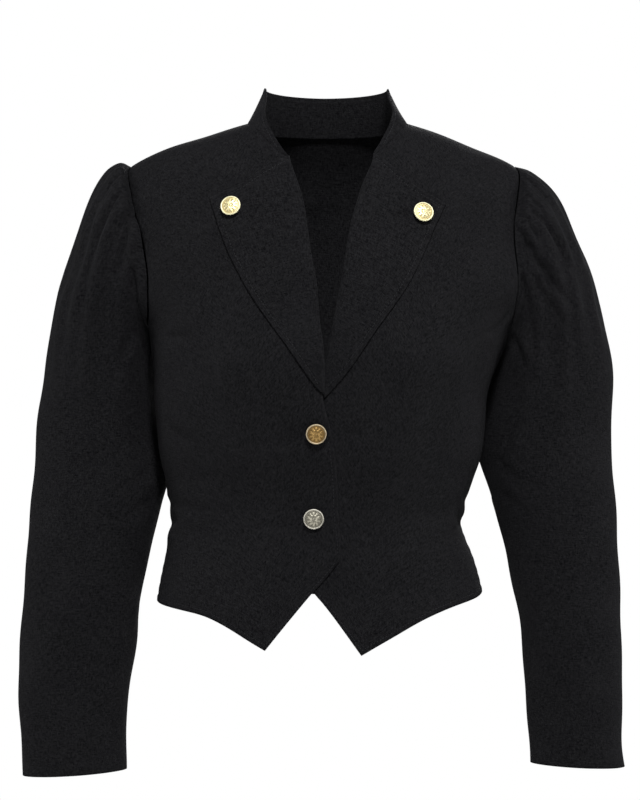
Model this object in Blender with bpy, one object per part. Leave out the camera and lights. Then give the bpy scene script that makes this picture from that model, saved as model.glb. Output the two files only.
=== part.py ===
"""Short fitted wool jacket, hollow as it is worn, from the pieces that its maker cuts and sews on.

The wearer faces -Y, with +X at the wearer's left, and the origin is inside the neck opening, level with
the tops of the shoulder seams. Sizes are in millimetres, and are turned into metres where a mesh is made.
"""

import math
from typing import NamedTuple

import bmesh
import bpy
import numpy as np
from mathutils import Matrix, Vector

MM = 0.001

CLOTH = 1.6  # thickness of the wool
LAYER = 2.4  # from the middle of one layer of cloth to the middle of the next
HALF_GAP = 0.4  # from a seam line to the middle of each panel's cut edge
SEAM = 1.7  # from the cut edge of a panel to the middle of the cloth sewn to it
ROLL_LIFT = 4.8  # extra lift of the right front where it lies over the left lapel's roll
HEAD_LIFT = 1.8  # how far the sleeve's seam edge stands out from the body's surface
NECK_X = 4.5
NECK_Y = -2.0
BUTTON_GAP = 0.7
BUTTON_SIDES = 28

SHOULDER = -44.0  # height of the shoulder points
UNDERARM = -205.0
HEM_RIGHT = -474.0
HEM_BACK = -478.0
HEM_LEFT = -466.0
BREAK = -268.0  # height at which the lapels start to turn back
SHOULDER_HEIGHTS = (0, -5, -12, -20, -28, -36, SHOULDER)
SIDE_HEIGHTS = (-440, -407, -357, -300, -249, UNDERARM)

ARMHOLE_FRONT = 54.0  # how far the armhole reaches forward at its middle
ARMHOLE_BACK = 56.0
FRONT_SCOOP = 0.25  # share by which it reaches further forward at its foot than at its middle
BACK_SCOOP = 0.1

# The right front rises onto the left one between these places across and drops below the neck.
LAP_ACROSS = (-78.0, -36.0)
LAP_DROP = (185.0, 232.0)
ROLL_ACROSS = (-50.0, -12.0)
ROLL_DROP = (196.0, 232.0)
ROLL_END = (284.0, 316.0)

RELIEF_FADE = (0.05, 0.5)  # relief of the fronts starts here from the side seam, and is whole here
TROUGH_END = 0.35  # depth of a trough at its ends, as a share of its middle's


class Section(NamedTuple):
    """A level section of the jacket's body: its middle, half width and depth to the front and back."""

    height: float
    centre: float
    half_width: float
    front: float
    back: float
    square: float


SECTIONS = (
    Section(0, 5, 75, 58, 62, 2.0),
    Section(-5, 6, 92, 60, 66, 2.0),
    Section(-12, 4, 115, 63, 71, 2.0),
    Section(-20, 3, 137, 66, 76, 2.0),
    Section(-28, 0.5, 158, 70, 81, 2.0),
    Section(-36, 0, 178, 74, 86, 2.0),
    Section(-45, 1, 195, 78, 90, 2.0),
    Section(-69, 2.5, 205, 90, 99, 2.0),
    Section(-95, 3, 209, 100, 105, 2.0),
    Section(-131, 7.5, 208, 111, 109, 2.0),
    Section(-162, 11, 202, 119, 110, 2.0),
    Section(-205, 8, 180, 127, 108, 2.05),
    Section(-249, 2, 169, 130, 103, 2.15),
    Section(-277, -1.5, 165, 128, 98, 2.15),
    Section(-327, -1, 161, 120, 88, 2.1),
    Section(-357, -2, 152.5, 111, 83, 2.1),
    Section(-396, -6, 145, 104, 80, 2.1),
    Section(-407, -6, 145.5, 104, 81, 2.1),
    Section(-430, -3, 152, 107, 86, 2.1),
    Section(-474, -2, 163, 113, 97, 2.1),
    Section(-525, -3, 169, 120, 108, 2.1),
)


class Bump(NamedTuple):
    """A soft swelling of the front: its middle from the front, and how far it stands out."""

    x: float
    height: float
    spread_x: float
    spread_z: float
    out: float


BUMPS = (
    Bump(-76, -232, 46, 52, 9.0),
    Bump(84, -232, 46, 52, 9.0),
)


class Trough(NamedTuple):
    """A dart or crease of the fronts, from one end to the other as seen from the front."""

    x0: float
    z0: float
    x1: float
    z1: float
    depth: float
    width: float


TROUGHS = (
    Trough(-122, -215, -106, -330, 3.0, 11),
    Trough(-146, -214, -128, -215, 1.5, 7),
    Trough(125, -262, 98, -335, 3.0, 13),
    Trough(186, -178, 160, -196, 2.5, 8),
    Trough(168, -196, 146, -262, 2.5, 9),
    Trough(118, -405, 152, -452, -3.0, 8),
)


class Ring(NamedTuple):
    """A section across a sleeve: its outer and inner ends from the front, its half depth, how far back its
    outer end lies, and how much further back its inner end is tucked behind the body."""

    outer_x: float
    outer_z: float
    inner_x: float
    inner_z: float
    half_depth: float
    mid_y: float
    tuck: float


RIGHT_SLEEVE = (
    Ring(-201, -39.5, -177, -209, 59, 1, 0),
    Ring(-212, -44, -175, -216, 62, 2, 6),
    Ring(-222, -56, -172.5, -222, 65, 3, 16),
    Ring(-233.5, -78, -169.5, -229, 67, 5, 26),
    Ring(-247.5, -116, -167.5, -240, 67, 8, 33),
    Ring(-263, -166, -165.5, -262, 65, 12, 31),
    Ring(-273, -216, -163, -292, 63, 16, 27),
    Ring(-281, -268, -160, -322, 60, 18, 22),
    Ring(-286, -316, -156, -350, 56, 18, 14),
    Ring(-290, -370, -163, -382, 52, 14, 6),
    Ring(-294.5, -430, -173.5, -431, 47, 7, 2),
    Ring(-298.5, -490, -182, -489, 42, 0, 0),
    Ring(-301, -551, -189, -547, 37, -8, 0),
    Ring(-299, -604, -194.5, -600, 33, -17, 0),
    Ring(-296, -647, -194.5, -640.5, 31, -24, 0),
)

LEFT_SLEEVE = (
    Ring(206, -47, 192, -208, 59, 1, 0),
    Ring(216, -53, 190, -215, 62, 2, 5),
    Ring(227, -64, 187, -222, 65, 3, 14),
    Ring(239.5, -82, 182, -231, 67, 5, 25),
    Ring(255, -114, 175, -242, 67, 8, 33),
    Ring(271, -160, 165.5, -266, 65, 12, 31),
    Ring(282, -208, 161, -294, 63, 16, 27),
    Ring(288, -260, 158.5, -322, 60, 18, 22),
    Ring(290, -310, 165, -348, 56, 18, 14),
    Ring(292.5, -362, 173, -376, 52, 14, 6),
    Ring(295.5, -424, 185.5, -426, 47, 7, 2),
    Ring(297, -484, 196, -485, 42, 0, 0),
    Ring(298, -546, 202.5, -542, 37, -8, 0),
    Ring(298.5, -600, 206, -595, 33, -17, 0),
    Ring(300.5, -638, 208.5, -634, 31, -24, 0),
)


class Gather(NamedTuple):
    """A fold let into the sleeve head: its angle at the seam and at its end, its reach, height and width."""

    seam_angle: float
    end_angle: float
    reach: float
    rise: float
    width: float


GATHERS = (
    Gather(-98, -104, 0.24, 2.4, 8),
    Gather(-78, -88, 0.36, 3.4, 8),
    Gather(-58, -72, 0.30, 3.0, 7),
    Gather(-40, -52, 0.42, 3.6, 7),
    Gather(-23, -30, 0.28, 3.0, 6),
    Gather(-7, -8, 0.40, 3.4, 6),
    Gather(9, 12, 0.26, 2.8, 5),
    Gather(25, 38, 0.42, 4.0, 7),
    Gather(42, 60, 0.34, 3.4, 7),
    Gather(60, 80, 0.46, 3.8, 8),
    Gather(80, 98, 0.34, 3.2, 8),
    Gather(102, 116, 0.42, 2.6, 9),
)


class Stand(NamedTuple):
    """How the collar stands at a share of its length, from either front end to the middle of the back."""

    share: float
    up: float
    inward: float


STANDS = (
    Stand(0.00, 3, 2),
    Stand(0.05, 12, 9),
    Stand(0.11, 20, 16),
    Stand(0.17, 28, 19),
    Stand(0.24, 37, 14),
    Stand(0.33, 38, 9),
    Stand(0.50, 38, 6),
)

# Outlines as seen from the front, from the hem or tip upwards: across, height.
RIGHT_CLOSING = ((16, -430), (18, -410), (14.5, -364), (9.5, -310), (3, -285), (0, BREAK))
LEFT_CLOSING = ((-28, -435), (-32, -410), (-30, -364), (-26, -310), (-15, -285), (-3, BREAK))
RIGHT_ROLL = ((0, BREAK), (0, -238), (-5.5, -200), (-13, -142), (-19, -94), (-25.5, -70), (-34.5, -41))
LEFT_ROLL = ((-3, BREAK), (5, -240), (17, -181), (25, -142), (33.5, -96), (41, -70), (51.5, -38))
RIGHT_NECK = ((-34.5, -41), (-53, -25), (-63, -13), (-67, -5))
LEFT_NECK = ((51.5, -38), (66, -25), (75, -13), (79, -5))
NOTCH = (-8.5, -459.5)
RIGHT_POINT = (-54.5, -515)
LEFT_POINT = (37.5, -519.5)
RIGHT_HEM = (RIGHT_POINT, (-69, -507), (-93, -493), (-118, -483))
LEFT_HEM = (LEFT_POINT, (58, -508), (105, -484), (136, -474))
# Round the back, from the right side to the left one: angle, height.
BACK_NECK = ((-90, 0), (-120, -2), (-150, -4.5), (-180, -5.5), (-210, -4.5), (-240, -2), (-270, 0))
BACK_HEM = ((-90, HEM_RIGHT), (-130, -477), (-180, HEM_BACK), (-230, -471), (-270, HEM_LEFT))
# The lapels' free edges as seen from the front, upwards, and their tops, outwards.
RIGHT_LAPEL_EDGE = ((-5, -264), (-28, -233), (-49, -204), (-68, -176), (-88, -138), (-103, -96), (-108, -81))
LEFT_LAPEL_EDGE = ((2, -274), (22, -252), (47, -216), (66, -190), (87, -156), (102, -124), (118.5, -87.5))
RIGHT_LAPEL_TOP = ((-34.5, -41), (-60, -55.5), (-79, -68.5), (-108, -81))
LEFT_LAPEL_TOP = ((51.5, -38), (64, -48), (82, -65), (118.5, -87.5))


class Button(NamedTuple):
    """A metal button: where it sits from the front, and how many layers of cloth it lies on."""

    x: float
    height: float
    over_closing: bool
    layers: int
    metal: str


BUTTONS = {
    "button_lapel_right": Button(-86.5, -91.3, False, 1, "pale_gold"),
    "button_lapel_left": Button(96, -97.3, False, 1, "pale_gold"),
    "button_upper": Button(-5.5, -307, True, 0, "antique_gold"),
    "button_lower": Button(-8, -389, True, 0, "antique_silver"),
}

# Half outline of a button from its shank to the middle of its face: radius, height.
BUTTON_PROFILE = (
    (0.0, 0.0),
    (2.5, 0.0),
    (2.5, 1.8),
    (8.4, 1.9),
    (9.5, 2.4),
    (9.8, 3.1),
    (9.3, 3.9),
    (8.6, 3.9),
    (7.9, 3.3),
    (5.6, 3.9),
    (2.8, 4.4),
    (0.0, 4.6),
)

# Colour, metallic and roughness of each finish.
FINISHES = {
    "wool": ((0.012, 0.013, 0.018), 0.0, 0.92),
    "pale_gold": ((0.74, 0.58, 0.27), 1.0, 0.30),
    "antique_gold": ((0.30, 0.20, 0.09), 1.0, 0.38),
    "antique_silver": ((0.32, 0.31, 0.27), 1.0, 0.36),
}

BOTTOM_REACH = 2
TOP_REACH = 4
CLOSING_CELLS = 8
ROLL_CELLS = 10
NECK_CELLS = 5
SIDE_CELLS = 12
ARMHOLE_CELLS = 11
NOTCH_CELLS = 5
HEM_CELLS = 9
BACK_SHOULDER_CELLS = 8
BACK_NECK_CELLS = 8
LAPEL_CELLS = (5, 12)
HOOK_CELLS = 4
COLLAR_CELLS = (40, 4)
SLEEVE_CELLS = (40, 19)
CAP_CROWDING = 0.45  # draws a sleeve's columns together at the top of its cap
HEAD_CROWDING = 1.15  # draws its rows together at its head
GATHER_START = 0.035  # share of the sleeve's length by which a gather has risen
GATHER_HOLD = 0.55  # share of a gather's reach at which it starts to fade


def smooth(knots, values, at):
    """Values at `at` on a smooth curve through the knots, which never swings past them."""
    knots = np.asarray(knots, float)
    values = np.asarray(values, float)
    step = np.diff(knots)
    rise = np.diff(values) / step
    slope = np.zeros_like(values)
    slope[0], slope[-1] = rise[0], rise[-1]
    before, after = rise[:-1], rise[1:]
    same_way = before * after > 0
    slope[1:-1][same_way] = (2 * before * after)[same_way] / (before + after)[same_way]
    at = np.clip(at, knots[0], knots[-1])
    i = np.clip(np.searchsorted(knots, at, side="right") - 1, 0, len(step) - 1)
    t = (at - knots[i]) / step[i]
    h = step[i]
    return (
        values[i] * (1 + 2 * t) * (1 - t) ** 2
        + slope[i] * h * t * (1 - t) ** 2
        + values[i + 1] * t * t * (3 - 2 * t)
        + slope[i + 1] * h * t * t * (t - 1)
    )


def ease(value, start, end):
    """0 before start, 1 after end, and a smooth step between them."""
    t = np.clip((value - start) / (end - start), 0, 1)
    return t * t * (3 - 2 * t)


def section(height):
    """Centre, half width, front depth, back depth and squareness of the body at a height."""
    drop = [-s.height for s in SECTIONS]
    at = -np.asarray(height, float)
    return [smooth(drop, [s[k] for s in SECTIONS], at) for k in range(1, 6)]


def relief(x, height):
    """How far the fronts stand out at a point seen from the front: bumps less troughs."""
    out = np.zeros_like(x)
    for b in BUMPS:
        out += b.out * np.exp(-(((x - b.x) / b.spread_x) ** 2) - ((height - b.height) / b.spread_z) ** 2)
    for t in TROUGHS:
        along_x, along_z = t.x1 - t.x0, t.z1 - t.z0
        share = ((x - t.x0) * along_x + (height - t.z0) * along_z) / (along_x**2 + along_z**2)
        kept = np.clip(share, 0, 1)
        away = np.hypot(x - t.x0 - kept * along_x, height - t.z0 - kept * along_z)
        swell = TROUGH_END + (1 - TROUGH_END) * np.sin(math.pi * kept)
        out -= t.depth * swell * np.exp(-((away / t.width) ** 2))
    return out


def body(angle, height):
    """Points of the jacket's body. Angle 0 is the centre front, 90 the wearer's left side, 180 the back."""
    angle = np.radians(np.asarray(angle, float))
    height = np.asarray(height, float)
    centre, half_width, front, back, square = section(height)
    across = np.sign(np.sin(angle)) * np.abs(np.sin(angle)) ** (2 / square)
    along = np.abs(np.cos(angle)) ** (2 / square)
    x = centre + half_width * across
    facing = np.cos(angle) > 0
    y = np.where(facing, -front * along, back * along)
    y = y - np.where(facing, relief(x, height) * ease(along, *RELIEF_FADE), 0)
    return np.stack([x, y, height], axis=-1)


def outward(angle, height):
    """Unit vectors that point out of the body's surface."""
    turn, climb = 1.5, 2.0
    around = body(angle + turn, height) - body(angle - turn, height)
    high = np.minimum(height + climb, 0)
    up = body(angle, high) - body(angle, high - 2 * climb)
    normal = np.cross(around, up)
    return normal / np.linalg.norm(normal, axis=-1, keepdims=True)


def from_front(points):
    """(angle, height) pairs on the front for points seen from the front."""
    x, height = np.asarray(points, float).T
    centre, half_width, _, _, square = section(height)
    across = np.clip((x - centre) / half_width, -1, 1)
    angle = np.degrees(np.arcsin(np.sign(across) * np.abs(across) ** (square / 2)))
    return np.stack([angle, height], axis=-1)


def run(points, cells):
    """(angle, height) pairs evenly spaced in length along a smooth line through a few of them."""
    points = np.asarray(points, float)
    for samples in (200, cells + 1):
        place = body(points[:, 0], points[:, 1])
        share = np.concatenate([[0], np.cumsum(np.linalg.norm(np.diff(place, axis=0), axis=1))])
        at = np.linspace(0, share[-1], samples)
        points = np.stack([smooth(share, points[:, k], at) for k in range(2)], axis=-1)
    return points


def join(*stretches):
    """One edge from stretches that meet end to end."""
    return np.concatenate([stretches[0]] + [s[1:] for s in stretches[1:]])


def patch(bottom, top, inner, outer):
    """Grid of pairs filled in between four edges; rows run from bottom to top.

    Each row runs straight from the inner edge to the outer one, and takes on the shape of the bottom or
    top edge as it nears it.
    """
    u = np.linspace(0, 1, len(bottom))[None, :, None]
    v = np.linspace(0, 1, len(inner))[:, None, None]
    rows = (1 - u) * inner[:, None] + u * outer[:, None]
    bottom_shape = bottom[None] - rows[:1]
    top_shape = top[None] - rows[-1:]
    return rows + (1 - v) ** BOTTOM_REACH * bottom_shape + v**TOP_REACH * top_shape


def armhole(turn, side):
    """Pairs on the armhole; turn 0 is the shoulder, 90 the front, 180 the underarm, 270 the back."""
    turn = np.radians(np.asarray(turn, float))
    middle = (SHOULDER + UNDERARM) / 2
    height = middle + (SHOULDER - UNDERARM) / 2 * np.cos(turn)
    in_front = np.sin(turn) >= 0
    forward = ARMHOLE_FRONT * (1 - FRONT_SCOOP * np.cos(turn))
    backward = ARMHOLE_BACK * (1 - BACK_SCOOP * np.cos(turn))
    depth = np.abs(np.sin(turn)) * np.where(in_front, forward, backward)
    _, _, front, back, square = section(height)
    share = np.clip(depth / np.where(in_front, front, back), 0, 1)
    lean = np.degrees(np.arccos(share ** (square / 2)))
    angle = np.where(in_front, lean, 180 - lean)
    return np.stack([side * angle, height], axis=-1)


def right_lift(x, height):
    """How far the right front is lifted, where it laps over the left front and the left lapel."""
    lap = ease(x, *LAP_ACROSS) * ease(-height, *LAP_DROP)
    roll = ease(x, *ROLL_ACROSS) * ease(-height, *ROLL_DROP) * (1 - ease(-height, *ROLL_END))
    return LAYER * lap + ROLL_LIFT * roll


def laid(pairs, lift):
    """Points on the body, moved out by lift."""
    angle, height = pairs[..., 0], pairs[..., 1]
    return body(angle, height) + outward(angle, height) * np.asarray(lift)[..., None]


def set_back(grid, edges):
    """The grid with the edges that are sewn to a neighbour drawn back by half a seam's gap."""
    grid = grid.copy()
    for edge in edges:
        rim, next_in = {
            "first": (grid[:, 0], grid[:, 1]),
            "last": (grid[:, -1], grid[:, -2]),
            "top": (grid[-1], grid[-2]),
        }[edge]
        way = next_in - rim
        rim += HALF_GAP * way / np.linalg.norm(way, axis=1)[:, None]
    return grid


def wool_piece(name, grid, closed=False):
    """A piece of cloth through a grid of points, made thick on both sides of it."""
    rows, columns = grid.shape[:2]
    mesh = bpy.data.meshes.new(name)
    reach = columns if closed else columns - 1
    faces = []
    for r in range(rows - 1):
        for c in range(reach):
            n = (c + 1) % columns
            faces.append((r * columns + c, r * columns + n, (r + 1) * columns + n, (r + 1) * columns + c))
    mesh.from_pydata((grid.reshape(-1, 3) * MM).tolist(), [], faces)
    mesh.shade_smooth()
    piece = bpy.data.objects.new(name, mesh)
    bpy.context.collection.objects.link(piece)
    thicken = piece.modifiers.new("thickness", "SOLIDIFY")
    thicken.thickness = CLOTH * MM
    thicken.offset = 0
    piece.data.materials.append(finish("wool"))
    return piece


def finish(name):
    """The material of a finish, made once."""
    if name in bpy.data.materials:
        return bpy.data.materials[name]
    colour, metallic, roughness = FINISHES[name]
    material = bpy.data.materials.new(name)
    material.use_nodes = True
    shader = material.node_tree.nodes["Principled BSDF"]
    shader.inputs["Base Color"].default_value = (*colour, 1)
    shader.inputs["Metallic"].default_value = metallic
    shader.inputs["Roughness"].default_value = roughness
    return material


def shoulder_line(side, cells):
    """The shoulder seam from the neck out to the shoulder point."""
    angles = np.full(len(SHOULDER_HEIGHTS), 90.0 * side)
    return run(np.stack([angles, SHOULDER_HEIGHTS], axis=-1), cells)


def side_line(side, hem):
    """The side seam and then the front of the armhole, from the hem up to the shoulder point."""
    heights = np.array([hem, *SIDE_HEIGHTS])
    seam = run(np.stack([np.full(len(heights), 90.0 * side), heights], axis=-1), SIDE_CELLS)
    return seam, armhole(np.linspace(180, 0, ARMHOLE_CELLS + 1), side)


def front_panel(side, closing, roll, neck, corner_to_point, hem, side_hem):
    """(angle, height) grid of one front; side is -1 for the wearer's right and 1 for the left."""
    neck_point = [[90.0 * side, 0.0]]
    inner = join(
        run(from_front(closing), CLOSING_CELLS),
        run(from_front(roll), ROLL_CELLS),
        run(np.concatenate([from_front(neck), neck_point]), NECK_CELLS),
    )
    bottom = join(
        run(from_front(corner_to_point), NOTCH_CELLS),
        run(np.concatenate([from_front(hem), [[90.0 * side, side_hem]]]), HEM_CELLS),
    )
    outer = join(*side_line(side, side_hem))
    top = shoulder_line(side, NOTCH_CELLS + HEM_CELLS)
    return patch(bottom, top, inner, outer)


def make_fronts():
    """The right front, which laps over, and the left front under it."""
    corner = (RIGHT_CLOSING[0], NOTCH, RIGHT_POINT)
    right = front_panel(-1, RIGHT_CLOSING, RIGHT_ROLL, RIGHT_NECK, corner, RIGHT_HEM, HEM_RIGHT)
    corner = (LEFT_CLOSING[0], NOTCH, LEFT_POINT)
    left = front_panel(1, LEFT_CLOSING, LEFT_ROLL, LEFT_NECK, corner, LEFT_HEM, HEM_LEFT)
    across = body(right[..., 0], right[..., 1])[..., 0]
    lapped = laid(right, right_lift(across, right[..., 1]))
    wool_piece("front_right", set_back(lapped, ("last", "top")))
    wool_piece("front_left", set_back(laid(left, np.zeros(left.shape[:2])), ("last", "top")))


def make_back():
    """The back, from side seam to side seam, with the shoulders and the back of the neck along its top."""
    edges = []
    for side, hem in ((-1, HEM_RIGHT), (1, HEM_LEFT)):
        seam, _ = side_line(side, hem)
        edge = join(seam, armhole(np.linspace(180, 360, ARMHOLE_CELLS + 1), side))
        edge[:, 0] = np.where(edge[:, 0] > 0, edge[:, 0] - 360, edge[:, 0])
        edges.append(edge)
    right_shoulder = shoulder_line(-1, BACK_SHOULDER_CELLS)[::-1]
    left_shoulder = shoulder_line(1, BACK_SHOULDER_CELLS)
    left_shoulder[:, 0] -= 360
    top = join(right_shoulder, back_neck(BACK_NECK_CELLS), left_shoulder)
    bottom = run(BACK_HEM, 2 * BACK_SHOULDER_CELLS + BACK_NECK_CELLS)
    grid = patch(bottom, top, edges[0], edges[1])
    wool_piece("back", set_back(laid(grid, np.zeros(grid.shape[:2])), ("first", "last", "top")))


def back_neck(cells):
    """The back neckline from the right shoulder seam to the left one."""
    return run(BACK_NECK, cells)


def lapel_points(side, edge, top, roll):
    """Grid of points of one lapel, which ends in a roll around the front's edge."""
    across, along = LAPEL_CELLS
    pairs = patch(
        run(from_front([edge[0], roll[0]]), across),
        run(from_front(top[::-1]), across),
        run(from_front(edge), along),
        run(from_front(roll), along),
    )
    angle, height = pairs[..., 0], pairs[..., 1]
    base = body(angle, height)
    lift = right_lift(base[..., 0], height) if side < 0 else np.zeros(height.shape)
    flat = laid(pairs, lift + LAYER)
    normal = outward(angle[:, -1], height[:, -1])
    front_edge = laid(pairs[:, -1], lift[:, -1])
    way = flat[:, -1] - flat[:, -2]
    way -= (way * normal).sum(1)[:, None] * normal
    way /= np.linalg.norm(way, axis=1)[:, None]
    hook = []
    for k in range(1, HOOK_CELLS + 1):
        turn = math.pi * k / HOOK_CELLS
        hook.append(front_edge + LAYER * (way * math.sin(turn) + normal * math.cos(turn)))
    return np.concatenate([flat, np.stack(hook, axis=1)], axis=1)


def make_lapels():
    """The two lapels, turned back onto the fronts."""
    wool_piece("lapel_right", lapel_points(-1, RIGHT_LAPEL_EDGE, RIGHT_LAPEL_TOP, RIGHT_ROLL))
    wool_piece("lapel_left", lapel_points(1, LEFT_LAPEL_EDGE, LEFT_LAPEL_TOP, LEFT_ROLL))


def make_collar():
    """The stand collar, on the neck seam from one lapel top round the back to the other."""
    cells, tall = COLLAR_CELLS
    right = run(np.concatenate([from_front(RIGHT_NECK), [[-90.0, 0.0]]]), NECK_CELLS * 4)
    left = run(np.concatenate([from_front(LEFT_NECK), [[90.0, 0.0]]]), NECK_CELLS * 4)[::-1]
    left[:, 0] -= 360
    seam = run(join(right, back_neck(BACK_NECK_CELLS * 4), left), cells)
    base = body(seam[:, 0], seam[:, 1])
    share = np.abs(np.linspace(-0.5, 0.5, cells + 1))
    near_front = 0.5 - share
    up = smooth([s.share for s in STANDS], [s.up for s in STANDS], near_front)
    inward = smooth([s.share for s in STANDS], [s.inward for s in STANDS], near_front)
    to_axis = np.array([NECK_X, NECK_Y]) - base[:, :2]
    to_axis /= np.linalg.norm(to_axis, axis=1)[:, None]
    rise = np.concatenate([to_axis * inward[:, None], up[:, None]], axis=1)
    height = np.linalg.norm(rise, axis=1)[:, None]
    rows = [base + rise / height * (SEAM + (height - SEAM) * q / tall) for q in range(tall + 1)]
    wool_piece("collar", np.stack(rows))


def sleeve_points(side, rings):
    """Grid of points of a sleeve: closed loops from the armhole seam down to the cuff."""
    around, along = SLEEVE_CELLS
    turn = np.linspace(0, 360, around, endpoint=False)
    turn = turn - np.degrees(CAP_CROWDING * np.sin(np.radians(turn)))
    hole = armhole(turn, side)
    seam = body(hole[:, 0], hole[:, 1])
    to_middle = seam.mean(axis=0) - seam
    seam = seam + SEAM * to_middle / np.linalg.norm(to_middle, axis=1)[:, None]
    seam = seam + HEAD_LIFT * outward(hole[:, 0], hole[:, 1])
    loops = [seam]
    radians = np.radians(turn)
    for ring in rings:
        outer = np.array([ring.outer_x, ring.mid_y, ring.outer_z])
        inner = np.array([ring.inner_x, ring.mid_y + ring.tuck, ring.inner_z])
        across = np.cos(radians)[:, None] * (outer - inner) / 2
        forward = np.sin(radians)[:, None] * np.array([0, -ring.half_depth, 0])
        loops.append((outer + inner) / 2 + across + forward)
    loops = np.stack(loops)
    gaps = np.linalg.norm(np.diff(loops, axis=0), axis=2).mean(axis=1)
    reach = np.concatenate([[0], np.cumsum(gaps)])
    share = np.linspace(0, 1, along + 1) ** HEAD_CROWDING
    at = share * reach[-1]
    grid = np.empty((along + 1, around, 3))
    for c in range(around):
        for k in range(3):
            grid[:, c, k] = smooth(reach, loops[:, c, k], at)
    turn = np.where(turn > 180, turn - 360, turn)
    return gathered(grid, turn, share)


def gathered(grid, turn, share):
    """The sleeve's grid with the folds of its head raised."""
    around = np.roll(grid, -1, axis=1) - np.roll(grid, 1, axis=1)
    down = np.gradient(grid, axis=0)
    normal = np.cross(down, around)
    normal /= np.linalg.norm(normal, axis=2)[..., None]
    middle = grid.mean(axis=1, keepdims=True)
    normal *= np.sign((normal * (grid - middle)).sum(axis=2).mean())
    rise = np.zeros(grid.shape[:2])
    for fold in GATHERS:
        way = np.clip(share / fold.reach, 0, 1)
        centre = fold.seam_angle + (fold.end_angle - fold.seam_angle) * way
        swell = ease(share, 0, GATHER_START) * (1 - ease(share, GATHER_HOLD * fold.reach, fold.reach))
        off = (turn[None, :] - centre[:, None]) / fold.width
        rise += fold.rise * swell[:, None] * np.exp(-(off**2))
    return grid + normal * rise[..., None]


def make_sleeves():
    """The two sleeves."""
    wool_piece("sleeve_right", sleeve_points(-1, RIGHT_SLEEVE), closed=True)
    wool_piece("sleeve_left", sleeve_points(1, LEFT_SLEEVE), closed=True)


def make_button(name, button):
    """A domed button with a raised rim and a shank, square to the cloth that it is sewn to."""
    pair = from_front([(button.x, button.height)])
    lift = button.layers * LAYER + CLOTH / 2 + BUTTON_GAP
    if button.over_closing or button.x < 0:
        lift += float(right_lift(np.array(button.x), np.array(button.height)))
    place = laid(pair, np.array([lift]))[0]
    normal = Vector(outward(pair[:, 0], pair[:, 1])[0])
    shape = bmesh.new()
    line = [shape.verts.new((r * MM, 0, h * MM)) for r, h in BUTTON_PROFILE]
    edges = [shape.edges.new(pair_of) for pair_of in zip(line, line[1:])]
    bmesh.ops.spin(
        shape,
        geom=line + edges,
        cent=(0, 0, 0),
        axis=(0, 0, 1),
        angle=2 * math.pi,
        steps=BUTTON_SIDES,
        use_merge=True,
        use_duplicate=False,
    )
    bmesh.ops.remove_doubles(shape, verts=shape.verts, dist=0.00001)
    bmesh.ops.recalc_face_normals(shape, faces=shape.faces)
    upright = Vector((0, 0, 1)).rotation_difference(normal).to_matrix().to_4x4()
    bmesh.ops.transform(shape, matrix=Matrix.Translation(Vector(place * MM)) @ upright, verts=shape.verts)
    mesh = bpy.data.meshes.new(name)
    shape.to_mesh(mesh)
    shape.free()
    mesh.shade_smooth()
    mesh.materials.append(finish(button.metal))
    bpy.context.collection.objects.link(bpy.data.objects.new(name, mesh))


def main():
    """Clear the scene and make each piece."""
    for old in list(bpy.data.objects):
        bpy.data.objects.remove(old)
    make_fronts()
    make_back()
    make_sleeves()
    make_collar()
    make_lapels()
    for name, button in BUTTONS.items():
        make_button(name, button)


main()
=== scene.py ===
"""Short fitted wool jacket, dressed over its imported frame: cloth, seams, stitching and metal buttons.

The wearer faces -Y, with +X at the wearer's left, and the origin is inside the neck opening. Sizes of the
cloth are in millimetres, as a maker measures, and are turned into metres where a mesh is made.
"""

from __future__ import annotations

import logging
import math
from dataclasses import dataclass, field
from enum import Enum
from typing import NamedTuple

import bmesh
import bpy
import numpy as np
from mathutils import Matrix, Vector


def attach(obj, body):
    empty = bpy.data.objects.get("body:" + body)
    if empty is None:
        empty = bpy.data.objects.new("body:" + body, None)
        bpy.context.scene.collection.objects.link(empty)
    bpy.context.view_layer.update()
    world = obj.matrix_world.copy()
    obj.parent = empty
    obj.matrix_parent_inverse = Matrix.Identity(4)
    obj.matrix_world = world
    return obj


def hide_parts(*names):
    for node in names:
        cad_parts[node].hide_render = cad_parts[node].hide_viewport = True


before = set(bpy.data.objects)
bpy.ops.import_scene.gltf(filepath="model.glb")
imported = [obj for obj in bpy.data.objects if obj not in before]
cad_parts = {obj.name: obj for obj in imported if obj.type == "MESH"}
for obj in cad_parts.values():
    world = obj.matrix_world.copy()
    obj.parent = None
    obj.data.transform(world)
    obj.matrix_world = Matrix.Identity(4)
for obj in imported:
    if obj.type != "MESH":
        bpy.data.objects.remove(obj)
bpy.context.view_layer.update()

log = logging.getLogger("wool_jacket")

MM = 0.001
TOP = 0.0  # height of the neck points
BODY = "root"
CLOTH = 1.6  # thickness
SEAM_GAP = 0.4  # from the edge of a piece to the middle of the seam
EDGE_INSET = 5.0  # from an edge to its line of stitches
GROOVE_DEPTH, GROOVE_WIDTH = 0.32, 1.3  # of the groove that the stitches draw
EDGE_PLUMPNESS = 0.22  # height of the turned edge outside the stitches
BODY_DRIFT, SLEEVE_DRIFT = 0.45, 1.1  # heights of the worn cloth's unevenness
HEAD_HELD = (3, 30)  # distances from the armhole seam over which the sleeve's unevenness sets in


class Section(NamedTuple):
    """A level section of the jacket's body: its middle, half width and depth to the front and back."""

    height: float
    centre: float
    half_width: float
    front: float
    back: float
    square: float


class Swelling(NamedTuple):
    """A soft swelling of the front: its middle from the front, its spread and how far it stands out."""

    x: float
    height: float
    spread_x: float
    spread_z: float
    out: float


class Dart(NamedTuple):
    """A dart or broad crease of the fronts, from one end to the other as seen from the front."""

    x0: float
    z0: float
    x1: float
    z1: float
    depth: float
    width: float


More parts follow.
